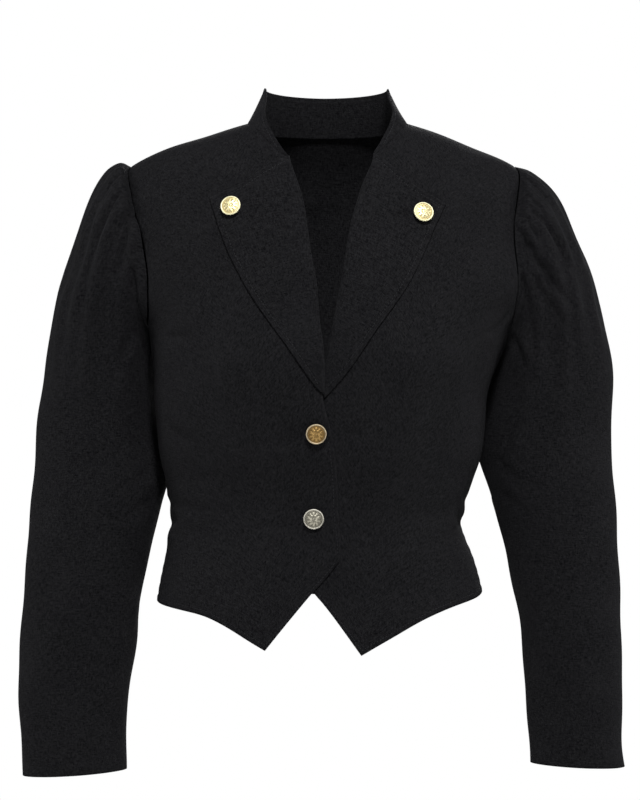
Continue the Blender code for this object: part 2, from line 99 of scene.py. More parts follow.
class Ring(NamedTuple):
    """A section across a sleeve: its outer and inner ends from the front, its half depth and its middle.

    The tuck is how much further back its inner end is tucked behind the body.
    """

    outer_x: float
    outer_z: float
    inner_x: float
    inner_z: float
    half_depth: float
    mid_y: float
    tuck: float


class Gather(NamedTuple):
    """A fold let into the sleeve head: its angle at the seam and at its end, its reach, height and width."""

    seam_angle: float
    end_angle: float
    reach: float
    rise: float
    width: float


class Stand(NamedTuple):
    """How the collar stands at a share of its length, from either front end to the middle of the back."""

    share: float
    up: float
    inward: float


class Seen(Enum):
    """The side from which a crease is read: the axis across it, the axis that faces, and which way."""

    FRONT = (0, 1, -1)
    BACK = (0, 1, 1)
    WEARERS_LEFT = (1, 0, 1)
    WEARERS_RIGHT = (1, 0, -1)


class Crease(NamedTuple):
    """A crease pressed or pulled into the cloth, from its deep end to where it fades."""

    seen: Seen
    points: tuple
    depth: float
    width: float
    ridge: float = 0.6  # height of the fold beside it, as a share of its depth


def creases(seen: Seen, *rows: tuple) -> tuple[Crease, ...]:
    """Name creases that are read from one side; a row holds a crease's points, depth and width."""
    return tuple(Crease(seen, *row) for row in rows)


class Cut(NamedTuple):
    """The flat piece of cloth that a panel is cut from: its size, what holds it, and its area."""

    width: float
    length: float
    held: str
    area: float
    rests_on: tuple = ()


# Flat sizes in millimetres, with the areas in square metres that are left once the outline is cut.
CUTS = {
    "front_right": Cut(290, 530, "stretched", 0.107),
    "front_left": Cut(290, 530, "stretched", 0.108),
    "back": Cut(500, 490, "stretched", 0.185),
    "sleeve_right": Cut(420, 660, "gathered", 0.19),
    "sleeve_left": Cut(420, 650, "gathered", 0.19),
    "collar": Cut(350, 44, "stretched", 0.0128),
    "lapel_right": Cut(110, 300, "folded", 0.017, ("front_right",)),
    "lapel_left": Cut(110, 300, "folded", 0.017, ("front_left",)),
}


class Edge(Enum):
    """An edge of a piece of cloth, as its grid is laid out."""

    FIRST = "first"
    LAST = "last"
    BOTTOM = "bottom"
    TOP = "top"


class Metal(Enum):
    """The metals of the buttons, by the record's material slots."""

    PALE_GOLD = "pale_gold"
    ANTIQUE_GOLD = "antique_gold"
    ANTIQUE_SILVER = "antique_silver"


def smooth(knots, values, at) -> np.ndarray:
    """Read a smooth curve through a few knots, which never swings past them.

    Args:
        knots: Where the curve is known, in rising order.
        values: The curve's values there.
        at: Where it is read.

    Returns:
        The curve's values at those places.
    """
    knots = np.asarray(knots, float)
    values = np.asarray(values, float)
    step = np.diff(knots)
    rise = np.diff(values) / step
    slope = np.zeros_like(values)
    slope[0], slope[-1] = rise[0], rise[-1]
    before, after = rise[:-1], rise[1:]
    same_way = before * after > 0
    slope[1:-1][same_way] = (2 * before * after)[same_way] / (before + after)[same_way]
    at = np.clip(at, knots[0], knots[-1])
    i = np.clip(np.searchsorted(knots, at, side="right") - 1, 0, len(step) - 1)
    t = (at - knots[i]) / step[i]
    h = step[i]
    return (
        values[i] * (1 + 2 * t) * (1 - t) ** 2
        + slope[i] * h * t * (1 - t) ** 2
        + values[i + 1] * t * t * (3 - 2 * t)
        + slope[i + 1] * h * t * t * (t - 1)
    )


def ease(value, start: float, end: float) -> np.ndarray:
    """Step smoothly from 0 at start to 1 at end."""
    t = np.clip((value - start) / (end - start), 0, 1)
    return t * t * (3 - 2 * t)


def softened(table: np.ndarray, spread: float) -> np.ndarray:
    """Round off the bends of an evenly read table.

    Args:
        table: Values along its first axis.
        spread: Reach of the rounding, in steps of the table.

    Returns:
        The table with its bends rounded, and its two ends kept in line.
    """
    reach = int(3 * spread)
    weight = np.exp(-0.5 * (np.arange(-reach, reach + 1) / spread) ** 2)
    weight /= weight.sum()
    before = 2 * table[:1] - table[1 : reach + 1][::-1]
    after = 2 * table[-1:] - table[-reach - 1 : -1][::-1]
    long = np.concatenate([before, table, after])
    flat = long.reshape(len(long), -1)
    rounded = np.stack([np.convolve(flat[:, k], weight, "valid") for k in range(flat.shape[1])], axis=1)
    return rounded.reshape(table.shape)


def join(*stretches: np.ndarray) -> np.ndarray:
    """Make one edge from stretches that meet end to end."""
    return np.concatenate([stretches[0]] + [s[1:] for s in stretches[1:]])


def lengths(points: np.ndarray, axis: int = 0) -> np.ndarray:
    """Measure the way travelled along lines of points.

    Args:
        points: Points, with their coordinates on the last axis.
        axis: The axis along which the lines run.

    Returns:
        The length from each line's start to each of its points.
    """
    steps = np.linalg.norm(np.diff(points, axis=axis), axis=-1)
    total = np.cumsum(steps, axis=axis)
    start = np.zeros_like(np.take(total, [0], axis=axis))
    return np.concatenate([start, total], axis=axis)


def unit(vectors: np.ndarray) -> np.ndarray:
    """Scale vectors, whose coordinates are on the last axis, to a length of 1."""
    return vectors / np.maximum(np.linalg.norm(vectors, axis=-1, keepdims=True), 1e-9)


def read_columns(at, along, table: np.ndarray) -> np.ndarray:
    """Read each column of a table in between its rows."""
    return np.stack([np.interp(at, along, column) for column in table.T], axis=-1)


def smooth_columns(along, table: np.ndarray, at) -> np.ndarray:
    """Read a smooth curve through each column of a table."""
    return np.stack([smooth(along, column, at) for column in table.T], axis=-1)


@dataclass
class BodyForm:
    """The shape of the jacket's body as it is worn, on which every panel is laid."""

    layer: float = 2.4  # from the middle of one layer of cloth to the middle of the next
    roll_lift: float = 4.8
    shoulder: float = -44.0
    underarm: float = -205.0
    hem_right: float = -474.0
    hem_back: float = -478.0
    hem_left: float = -466.0
    bottom_reach: int = 2
    top_reach: int = 4
    section_step: float = 0.5
    section_softness: float = 6.0
    run_samples: int = 240
    run_softness: float = 11.0
    side_cells: int = 96
    armhole_cells: int = 88
    armhole_front: tuple = (54, 0.25)  # depth at half height, and the share by which the top is narrower
    armhole_back: tuple = (56, 0.1)
    dart_ends: float = 0.35  # share of a dart's depth that is left at its ends
    relief_fade: tuple = (0.05, 0.5)  # from the side towards the front, where the relief sets in
    lap_across: tuple = (-78, -36)
    lap_down: tuple = (185, 232)
    roll_across: tuple = (-50, -12)
    roll_down: tuple = (196, 232)
    roll_end: tuple = (284, 316)
    sections: tuple = tuple(
        Section(*row)
        for row in (
            (0, 5, 75, 58, 62, 2.0), (-5, 6, 92, 60, 66, 2.0), (-12, 4, 115, 63, 71, 2.0),
            (-20, 3, 137, 66, 76, 2.0), (-28, 0.5, 158, 70, 81, 2.0), (-36, 0, 178, 74, 86, 2.0),
            (-45, 1, 195, 78, 90, 2.0), (-69, 2.5, 205, 90, 99, 2.0), (-95, 3, 209, 100, 105, 2.0),
            (-131, 7.5, 208, 111, 109, 2.0), (-162, 11, 202, 119, 110, 2.0),
            (-205, 8, 180, 127, 108, 2.05), (-249, 2, 169, 130, 103, 2.15),
            (-277, -1.5, 165, 128, 98, 2.15), (-327, -1, 161, 120, 88, 2.1),
            (-357, -2, 152.5, 111, 83, 2.1), (-396, -6, 145, 104, 80, 2.1),
            (-407, -6, 145.5, 104, 81, 2.1), (-430, -3, 152, 107, 86, 2.1), (-474, -2, 163, 113, 97, 2.1),
            (-525, -3, 169, 120, 108, 2.1),
        )
    )
    swellings: tuple = (Swelling(-76, -232, 46, 52, 9.0), Swelling(84, -232, 46, 52, 9.0))
    darts: tuple = (
        Dart(-122, -215, -106, -330, 3.0, 11),
        Dart(-146, -214, -128, -215, 1.5, 7),
        Dart(125, -262, 98, -335, 3.0, 13),
        Dart(186, -178, 160, -196, 2.5, 8),
        Dart(168, -196, 146, -262, 2.5, 9),
        Dart(118, -405, 152, -452, -3.0, 8),
    )
    heights: np.ndarray = field(init=False)
    table: np.ndarray = field(init=False)

    def __post_init__(self) -> None:
        """Read the sections every half millimetre, and round off their bends."""
        drop = [-s.height for s in self.sections]
        self.heights = np.arange(0, drop[-1] + self.section_step, self.section_step)
        columns = [smooth(drop, [s[k] for s in self.sections], self.heights) for k in range(1, 6)]
        self.table = softened(np.stack(columns, axis=1), self.section_softness / self.section_step)

    def section(self, height) -> list[np.ndarray]:
        """Read the body's centre, half width, front depth, back depth and squareness at a height."""
        drop = -np.asarray(height, float)
        return [np.interp(drop, self.heights, self.table[:, k]) for k in range(5)]

    def relief(self, x: np.ndarray, height: np.ndarray) -> np.ndarray:
        """How far the fronts stand out at points seen from the front."""
        out = np.zeros_like(x)
        for s in self.swellings:
            out += s.out * np.exp(-(((x - s.x) / s.spread_x) ** 2) - ((height - s.height) / s.spread_z) ** 2)
        for d in self.darts:
            along_x, along_z = d.x1 - d.x0, d.z1 - d.z0
            share = ((x - d.x0) * along_x + (height - d.z0) * along_z) / (along_x**2 + along_z**2)
            kept = np.clip(share, 0, 1)
            away = np.hypot(x - d.x0 - kept * along_x, height - d.z0 - kept * along_z)
            swell = self.dart_ends + (1 - self.dart_ends) * np.sin(math.pi * kept)
            out -= d.depth * swell * np.exp(-((away / d.width) ** 2))
        return out

    def surface(self, angle, height) -> np.ndarray:
        """Find points of the body.

        Args:
            angle: Degrees round the body, 0 at the centre front and 90 at the wearer's left side.
            height: Height in millimetres.

        Returns:
            Points in millimetres.
        """
        angle = np.radians(np.asarray(angle, float))
        height = np.asarray(height, float)
        centre, half_width, front, back, square = self.section(height)
        across = np.sign(np.sin(angle)) * np.abs(np.sin(angle)) ** (2 / square)
        along = np.abs(np.cos(angle)) ** (2 / square)
        x = centre + half_width * across
        facing = np.cos(angle) > 0
        y = np.where(facing, -front * along, back * along)
        y = y - np.where(facing, self.relief(x, height) * ease(along, *self.relief_fade), 0)
        return np.stack([x, y, height], axis=-1)

    def outward(self, angle, height) -> np.ndarray:
        """Unit vectors that point out of the body's surface."""
        turn, climb = 1.5, 2.0
        around = self.surface(angle + turn, height) - self.surface(angle - turn, height)
        high = np.minimum(height + climb, TOP)
        up = self.surface(angle, high) - self.surface(angle, high - 2 * climb)
        return unit(np.cross(around, up))

    def from_front(self, points) -> np.ndarray:
        """Turn points seen from the front into (angle, height) pairs on the front."""
        x, height = np.asarray(points, float).T
        centre, half_width, _, _, square = self.section(height)
        across = np.clip((x - centre) / half_width, -1, 1)
        angle = np.degrees(np.arcsin(np.sign(across) * np.abs(across) ** (square / 2)))
        return np.stack([angle, height], axis=-1)

    def run(self, points, cells: int) -> np.ndarray:
        """Space (angle, height) pairs evenly along a smooth line through a few of them."""
        points = np.asarray(points, float)
        for samples in (self.run_samples, cells + 1):
            share = lengths(self.surface(points[:, 0], points[:, 1]))
            at = np.linspace(0, share[-1], samples)
            points = smooth_columns(share, points, at)
            if samples == self.run_samples:
                points = softened(points, self.run_softness)
        return points

    def patch(self, bottom, top, inner, outer) -> np.ndarray:
        """Fill in between four edges.

        Each row runs straight from the inner edge to the outer one, and takes on the shape of the bottom
        or top edge as it nears it.

        Returns:
            Grid of (angle, height) pairs, whose rows run from bottom to top.
        """
        u = np.linspace(0, 1, len(bottom))[None, :, None]
        v = np.linspace(0, 1, len(inner))[:, None, None]
        rows = (1 - u) * inner[:, None] + u * outer[:, None]
        bottom_shape = bottom[None] - rows[:1]
        top_shape = top[None] - rows[-1:]
        return rows + (1 - v) ** self.bottom_reach * bottom_shape + v**self.top_reach * top_shape

    def armhole(self, turn, side: int) -> np.ndarray:
        """Pairs on the armhole; turn 0 is the shoulder, 90 the front, 180 the underarm, 270 the back."""
        turn = np.radians(np.asarray(turn, float))
        middle = (self.shoulder + self.underarm) / 2
        height = middle + (self.shoulder - self.underarm) / 2 * np.cos(turn)
        in_front = np.sin(turn) >= 0
        shapes = (self.armhole_front, self.armhole_back)
        ahead, behind = (deep * (1 - less * np.cos(turn)) for deep, less in shapes)
        depth = np.abs(np.sin(turn)) * np.where(in_front, ahead, behind)
        _, _, front, back, square = self.section(height)
        share = np.clip(depth / np.where(in_front, front, back), 0, 1)
        lean = np.degrees(np.arccos(share ** (square / 2)))
        angle = np.where(in_front, lean, 180 - lean)
        return np.stack([side * angle, height], axis=-1)

    def right_lift(self, x, height) -> np.ndarray:
        """How far the right front is lifted, where it laps over the left front and the left lapel."""
        lap = ease(x, *self.lap_across) * ease(-height, *self.lap_down)
        roll = ease(x, *self.roll_across) * ease(-height, *self.roll_down)
        roll = roll * (1 - ease(-height, *self.roll_end))
        return self.layer * lap + self.roll_lift * roll

    def laid(self, pairs: np.ndarray, lift) -> np.ndarray:
        """Points on the body, moved out by lift."""
        angle, height = pairs[..., 0], pairs[..., 1]
        return self.surface(angle, height) + self.outward(angle, height) * np.asarray(lift)[..., None]

    def between(self, side: int, heights: tuple, cells: int) -> np.ndarray:
        """Run along the line between front and back, through some heights."""
        return self.run([(90.0 * side, height) for height in heights], cells)

    def shoulder_line(self, side: int, cells: int) -> np.ndarray:
        """Run along the shoulder seam, from the neck out to the shoulder point."""
        return self.between(side, (0, -5, -12, -20, -28, -36, self.shoulder), cells)

    def outer_edge(self, side: int, hem: float, top_turn: float) -> np.ndarray:
        """Run up the side seam and on along the armhole, to its top."""
        seam = self.between(side, (hem, -440, -407, -357, -300, -249, self.underarm), self.side_cells)
        return join(seam, self.armhole(np.linspace(180, top_turn, self.armhole_cells + 1), side))

    def to_seam(self, points, side: int, height: float) -> np.ndarray:
        """Turn points seen from the front into pairs, and go on to the line between front and back."""
        return np.concatenate([self.from_front(points), [[90.0 * side, height]]])

    def back_neck(self, cells: int) -> np.ndarray:
        """Run along the back neckline, from the right shoulder seam to the left one."""
        points = [(-90, 0), (-120, -2), (-150, -4.5), (-180, -5.5), (-210, -4.5), (-240, -2), (-270, 0)]
        return self.run(points, cells)


@dataclass
class Sheet:
    """One piece of the cloth: a grid of points in millimetres with its rows from bottom to top."""

    node: str
    grid: np.ndarray
    closed: bool = False
    reversed_face: bool = False
    rise: np.ndarray = field(init=False)

    def __post_init__(self) -> None:
        """Start with no relief."""
        self.rise = np.zeros(self.grid.shape[:2])

    def normals(self) -> np.ndarray:
        """Unit vectors out of the cloth's face."""
        grid = self.grid
        if self.closed:
            around = np.roll(grid[:, :-1], -1, axis=1) - np.roll(grid[:, :-1], 1, axis=1)
            around = np.concatenate([around, around[:, :1]], axis=1)
        else:
            around = np.gradient(grid, axis=1)
        normal = unit(np.cross(around, np.gradient(grid, axis=0)))
        return -normal if self.reversed_face else normal

    def distance(self, edge: Edge) -> np.ndarray:
        """Measure how far each point of the cloth is from an edge, along the cloth."""
        along = lengths(self.grid, 1 if edge in (Edge.FIRST, Edge.LAST) else 0)
        if edge is Edge.LAST:
            return along[:, -1:] - along
        if edge is Edge.TOP:
            return along[-1:] - along
        return along

    def set_back(self, edges: tuple[Edge, ...]) -> None:
        """Draw back the edges that are sewn to a neighbour, by the gap of a seam, and turn them down."""
        grid = self.grid
        ends = {
            Edge.FIRST: (grid[:, 0], grid[:, 1]),
            Edge.LAST: (grid[:, -1], grid[:, -2]),
            Edge.TOP: (grid[-1], grid[-2]),
        }
        for edge in edges:
            rim, next_in = ends[edge]
            rim += SEAM_GAP * unit(next_in - rim)
        for edge in edges:
            self.sink(edge)

    def sink(self, edge: Edge, depth: float = 0.45, width: float = 1.8) -> None:
        """Let the cloth turn down into a seam along an edge."""
        self.rise -= depth * np.exp(-((self.distance(edge) / width) ** 2))

    def pucker(self, edge: Edge, height: float, pitch: float, reach: float) -> None:
        """Let the cloth ripple a little along a seam, as the thread draws it in."""
        away = self.distance(edge)
        axis = 0 if edge in (Edge.FIRST, Edge.LAST) else 1
        along = lengths(self.grid, axis)
        beat = np.sin(2 * math.pi * along / pitch + 1.7 * np.sin(along / (1.9 * pitch)))
        self.rise += height * beat * np.exp(-((away / reach) ** 2)) * ease(away, 0, 0.6 * reach)

    def press_stitched_edge(self, edge: Edge) -> None:
        """Press a groove along a line of stitches, with the turned edge a little plump outside it."""
        away = self.distance(edge)
        self.rise -= GROOVE_DEPTH * np.exp(-(((away - EDGE_INSET) / GROOVE_WIDTH) ** 2))
        self.rise += EDGE_PLUMPNESS * np.exp(-(((away - 0.45 * EDGE_INSET) / (0.35 * EDGE_INSET)) ** 2))

    def apply_rise(self) -> None:
        """Move the points out by the relief that has been gathered, and start it anew."""
        self.grid = self.grid + self.normals() * self.rise[..., None]
        self.rise = np.zeros_like(self.rise)

    def path(self, edge: Edge, lift: float) -> np.ndarray:
        """Trace the line of stitches on the cloth's face, inside an edge.

        Args:
            edge: The edge that the line follows.
            lift: How far above the middle of the cloth it lies.

        Returns:
            Rows of a point and its normal, six numbers each.
        """
        both = np.concatenate([self.grid + self.normals() * lift, self.normals()], axis=2)
        away = self.distance(edge)
        if edge in (Edge.TOP, Edge.BOTTOM):
            both, away = both.transpose(1, 0, 2), away.T
        if edge in (Edge.LAST, Edge.TOP):
            both, away = both[:, ::-1], away[:, ::-1]
        return np.stack([read_columns(EDGE_INSET, a, b) for a, b in zip(away, both)])


@dataclass(frozen=True)
class Drift:
    """The slow unevenness of worn cloth, the same for layers that lie on each other."""

    seed: int = 11
    waves: int = 14
    shortest: float = 48.0
    longest: float = 150.0

    def at(self, points: np.ndarray, height: float) -> np.ndarray:
        """Read the unevenness at points.

        Args:
            points: Points in millimetres.
            height: Its usual height.

        Returns:
            How far the cloth stands out there.
        """
        draw = np.random.default_rng(self.seed)
        out = np.zeros(points.shape[:-1])
        for _ in range(self.waves):
            way = draw.normal(size=3)
            way *= 2 * math.pi / (draw.uniform(self.shortest, self.longest) * np.linalg.norm(way))
            out += np.sin(points @ way + draw.uniform(0, 2 * math.pi))
        return height * out * math.sqrt(2 / self.waves)


@dataclass
class Folds:
    """Creases placed on some sheets that lie on one form."""

    sheets: list[Sheet]
    stops: int = 14
    least_facing: float = 0.05
    reach: float = 4.0  # widths of a crease within which it is pressed
    ridge_place: float = 1.9  # widths from the crease to the top of the fold beside it
    ridge_width: float = 1.25
    start_fade: tuple = (-0.12, 0.14)
    end_fade: tuple = (0.45, 1.0)
    waver: float = 0.22
    waver_beats: float = 9.0

    def line(self, crease: Crease) -> np.ndarray:
        """Lay a crease's line on the cloth.

        Args:
            crease: The crease, with its points as seen from one side.

        Returns:
            Points of the cloth along it, in millimetres.
        """
        across, facing, way = crease.seen.value
        marks = np.asarray(crease.points, float)
        share = lengths(marks)
        at = np.linspace(0, share[-1], self.stops)
        marks = smooth_columns(share, marks, at)
        points = np.concatenate([s.grid.reshape(-1, 3) for s in self.sheets])
        normals = np.concatenate([s.normals().reshape(-1, 3) for s in self.sheets])
        points = points[normals[:, facing] * way > self.least_facing]
        gaps = np.hypot(points[:, None, across] - marks[None, :, 0], points[:, None, 2] - marks[None, :, 1])
        return points[np.argmin(gaps, axis=0)]

    def press(self, creases: tuple[Crease, ...]) -> None:
        """Press creases into every sheet that they cross."""
        for crease in creases:
            line = self.line(crease)
            for sheet in self.sheets:
                self.press_one(sheet, crease, line)

    def press_one(self, sheet: Sheet, crease: Crease, line: np.ndarray) -> None:
        """Press one crease into one sheet, deep at its start and fading to its end."""
        reach = self.reach * crease.width
        near = np.all((sheet.grid > line.min(0) - reach) & (sheet.grid < line.max(0) + reach), axis=2)
        if not near.any():
            return
        points, normals = sheet.grid[near], sheet.normals()[near]
        start, step = line[:-1], np.diff(line, axis=0)
        length2 = np.maximum((step**2).sum(1), 1e-9)
        share = ((points[:, None] - start) * step).sum(2) / length2
        kept = np.clip(share, 0, 1)
        gap = points[:, None] - start - kept[..., None] * step
        away = np.linalg.norm(gap, axis=2)
        pick = away.argmin(axis=1)
        rows = np.arange(len(points))
        beside = np.cross(step[pick], gap[rows, pick])
        signed = away[rows, pick] * np.sign((beside * normals).sum(1))
        along = (pick + kept[rows, pick]) / len(step)
        taper = ease(along, *self.start_fade) * (1 - ease(along, *self.end_fade))
        taper *= 1 + self.waver * np.sin(self.waver_beats * along)
        widths = signed / crease.width
        valley = np.exp(-(widths**2))
        beside_it = np.exp(-(((widths - self.ridge_place) / self.ridge_width) ** 2))
        sheet.rise[near] += crease.depth * taper * (crease.ridge * beside_it - valley)


class Wire:
    """An output of a node, with the operators of shader maths."""

    def __init__(self, finish: Finish, socket: bpy.types.NodeSocket) -> None:
        """Wrap a socket of a finish's node tree."""
        self.finish = finish
        self.socket = socket

    def _math(self, operation: str, first, second) -> Wire:
        """Add a Math node."""
        node = self.finish.node("ShaderNodeMath", {"operation": operation}, {0: first, 1: second})
        return Wire(self.finish, node.outputs[0])

    def __add__(self, other) -> Wire:
        """Add."""
        return self._math("ADD", self, other)

    def __sub__(self, other) -> Wire:
        """Subtract."""
        return self._math("SUBTRACT", self, other)

    def __mul__(self, other) -> Wire:
        """Multiply."""
        return self._math("MULTIPLY", self, other)


@dataclass
class Finish:
    """A material that is built from nodes."""

    name: str
    material: bpy.types.Material = field(init=False)

    def __post_init__(self) -> None:
        """Make the material with its shader."""
        self.material = bpy.data.materials.new(self.name)
        self.material.use_nodes = True
        self.tree = self.material.node_tree
        self.shader = self.tree.nodes["Principled BSDF"]
        self.build()

    def build(self) -> None:
        """Lay out the nodes; each finish has its own."""

    def node(self, kind: str, settings: dict | None = None, sockets: dict | None = None) -> bpy.types.Node:
        """Add a node.

        Args:
            kind: The node's type.
            settings: Its settings, which are set first.
            sockets: Values or wires of its inputs, by name or number.

        Returns:
            The node.
        """
        node = self.tree.nodes.new(kind)
        for key, value in (settings or {}).items():
            setattr(node, key, value)
        self.plug(node, sockets or {})
        return node

    def plug(self, node: bpy.types.Node, sockets: dict) -> None:
        """Set a node's inputs to values, or link them to wires."""
        for key, value in sockets.items():
            if isinstance(value, Wire):
                self.tree.links.new(value.socket, node.inputs[key])
            else:
                node.inputs[key].default_value = value

    def wire(self, node: bpy.types.Node, output: str | int = 0) -> Wire:
        """Wrap an output of a node."""
        return Wire(self, node.outputs[output])

    def noise(self, place: Wire, scale: float, detail: float = 3.0, roughness: float = 0.55) -> Wire:
        """Read noise from 0 to 1 at a place."""
        sockets = {"Vector": place, "Scale": scale, "Detail": detail, "Roughness": roughness}
        return self.wire(self.node("ShaderNodeTexNoise", None, sockets), "Fac")

    def span(self, value: Wire, low: float, high: float, to_low: float = 0.0, to_high: float = 1.0) -> Wire:
        """Map one span of numbers onto another, with the ends held."""
        sockets = {0: value, 1: low, 2: high, 3: to_low, 4: to_high}
        return self.wire(self.node("ShaderNodeMapRange", None, sockets))

    def mixed(self, share: Wire, first, second) -> Wire:
        """Mix two colours by a share."""
        node = self.node("ShaderNodeMix", {"data_type": "RGBA"}, {0: share, 6: first, 7: second})
        return self.wire(node, 2)

    def place(self, kind: str = "Object") -> Wire:
        """Read where a point of the surface is."""
        return self.wire(self.node("ShaderNodeTexCoord"), kind)

    def attribute(self, name: str) -> Wire:
        """Read a number that the mesh carries."""
        return self.wire(self.node("ShaderNodeAttribute", {"attribute_name": name}), "Fac")

    def bumped(self, strength: float, distance: float, height: Wire) -> Wire:
        """Turn a height into a normal."""
        sockets = {"Strength": strength, "Distance": distance, "Height": height}
        return self.wire(self.node("ShaderNodeBump", None, sockets))

    def stretched(self, place: Wire, scale: tuple[float, float, float], turn: float = 0.0) -> Wire:
        """Stretch and turn a place in the plane of the cloth."""
        sockets = {"Vector": place, "Scale": scale, "Rotation": (0.0, 0.0, turn)}
        return self.wire(self.node("ShaderNodeMapping", None, sockets))


@dataclass
class WoolFinish(Finish):
    """Fine flannel: a dark navy ground, soft nap, crossed fibres and a faint sheen."""

    ground: tuple = (0.0006, 0.0006, 0.0010, 1.0)
    nap: tuple = (0.0138, 0.0137, 0.0149, 1.0)

    def build(self) -> None:
        """Lay out the nodes of the wool."""
        cloth = self.place("UV")
        solid = self.place()
        warp = self.noise(self.stretched(cloth, (1100.0, 170.0, 1.0), 0.05), 1.0, 2.0)
        weft = self.noise(self.stretched(cloth, (150.0, 1000.0, 1.0), 0.04), 1.0, 2.0)
        fibres = (warp + weft) * 0.5
        fluff = self.noise(solid, 480.0, 5.0, 0.72)
        cloudy = self.noise(solid, 26.0, 3.0)
        tone = self.span(fibres, 0.4, 0.6) * 0.45 + self.span(fluff, 0.4, 0.62) * 0.4
        tone = tone + self.span(cloudy, 0.35, 0.65) * 0.08
        height = fibres * 0.7 + fluff * 0.6 + cloudy * 0.15
        colour = self.mixed(tone, self.ground, self.nap)
        rough = self.span(fluff, 0.2, 0.8, 0.84, 0.98)
        settled = {
            "Base Color": colour,
            "Roughness": rough,
            "Normal": self.bumped(0.8, 0.0011, height),
            "Specular IOR Level": 0.05,
            "Sheen Weight": 0.012,
            "Sheen Roughness": 0.5,
            "Sheen Tint": (0.8, 0.8, 0.88, 1.0),
        }
        self.plug(self.shader, settled)


@dataclass
class ThreadFinish(Finish):
    """Twisted sewing thread, dyed to match the cloth."""

    dark: tuple = (0.003, 0.003, 0.004, 1.0)
    light: tuple = (0.011, 0.011, 0.014, 1.0)

    def build(self) -> None:
        """Lay out the nodes of the thread."""
        solid = self.place()
        twist = self.noise(solid, 2400.0, 2.0)
        settled = {
            "Base Color": self.mixed(self.span(twist, 0.3, 0.7), self.dark, self.light),
            "Roughness": self.span(twist, 0.2, 0.8, 0.5, 0.68),
            "Normal": self.bumped(0.4, 0.0002, twist),
            "Specular IOR Level": 0.3,
        }
        self.plug(self.shader, settled)


@dataclass
class MetalFinish(Finish):
    """Stamped metal, darker in its hollows with painted shade and patina, and bright with wear on what stands
    out.
    """

    bright: tuple
    # colour of the hollows: painted shade with patina
    deep: tuple
    rim: tuple
    rough: float

    def build(self) -> None:
        """Lay out the nodes of the metal."""
        solid = self.place()
        relief = self.attribute("relief")
        edge = self.attribute("rim")
        tarnish = self.noise(solid, 900.0, 4.0, 0.65)
        grain = self.noise(solid, 4200.0, 2.0)
        # painted shade with patina: darker in the hollows, bright with wear on what stands out
        shade_and_wear = self.span(relief + (tarnish - 0.5) * 0.7, -0.15, 0.75)
        face = self.mixed(shade_and_wear, self.deep, self.bright)
        colour = self.mixed(self.span(edge, 0.25, 0.75), face, self.rim)
        rough = self.span(shade_and_wear + (grain - 0.5) * 0.4, 0.0, 1.0, self.rough + 0.24, self.rough)
        normal = self.bumped(0.18, 0.0001, grain)
        settled = {"Base Color": colour, "Roughness": rough, "Normal": normal, "Metallic": 1.0}
        self.plug(self.shader, settled)


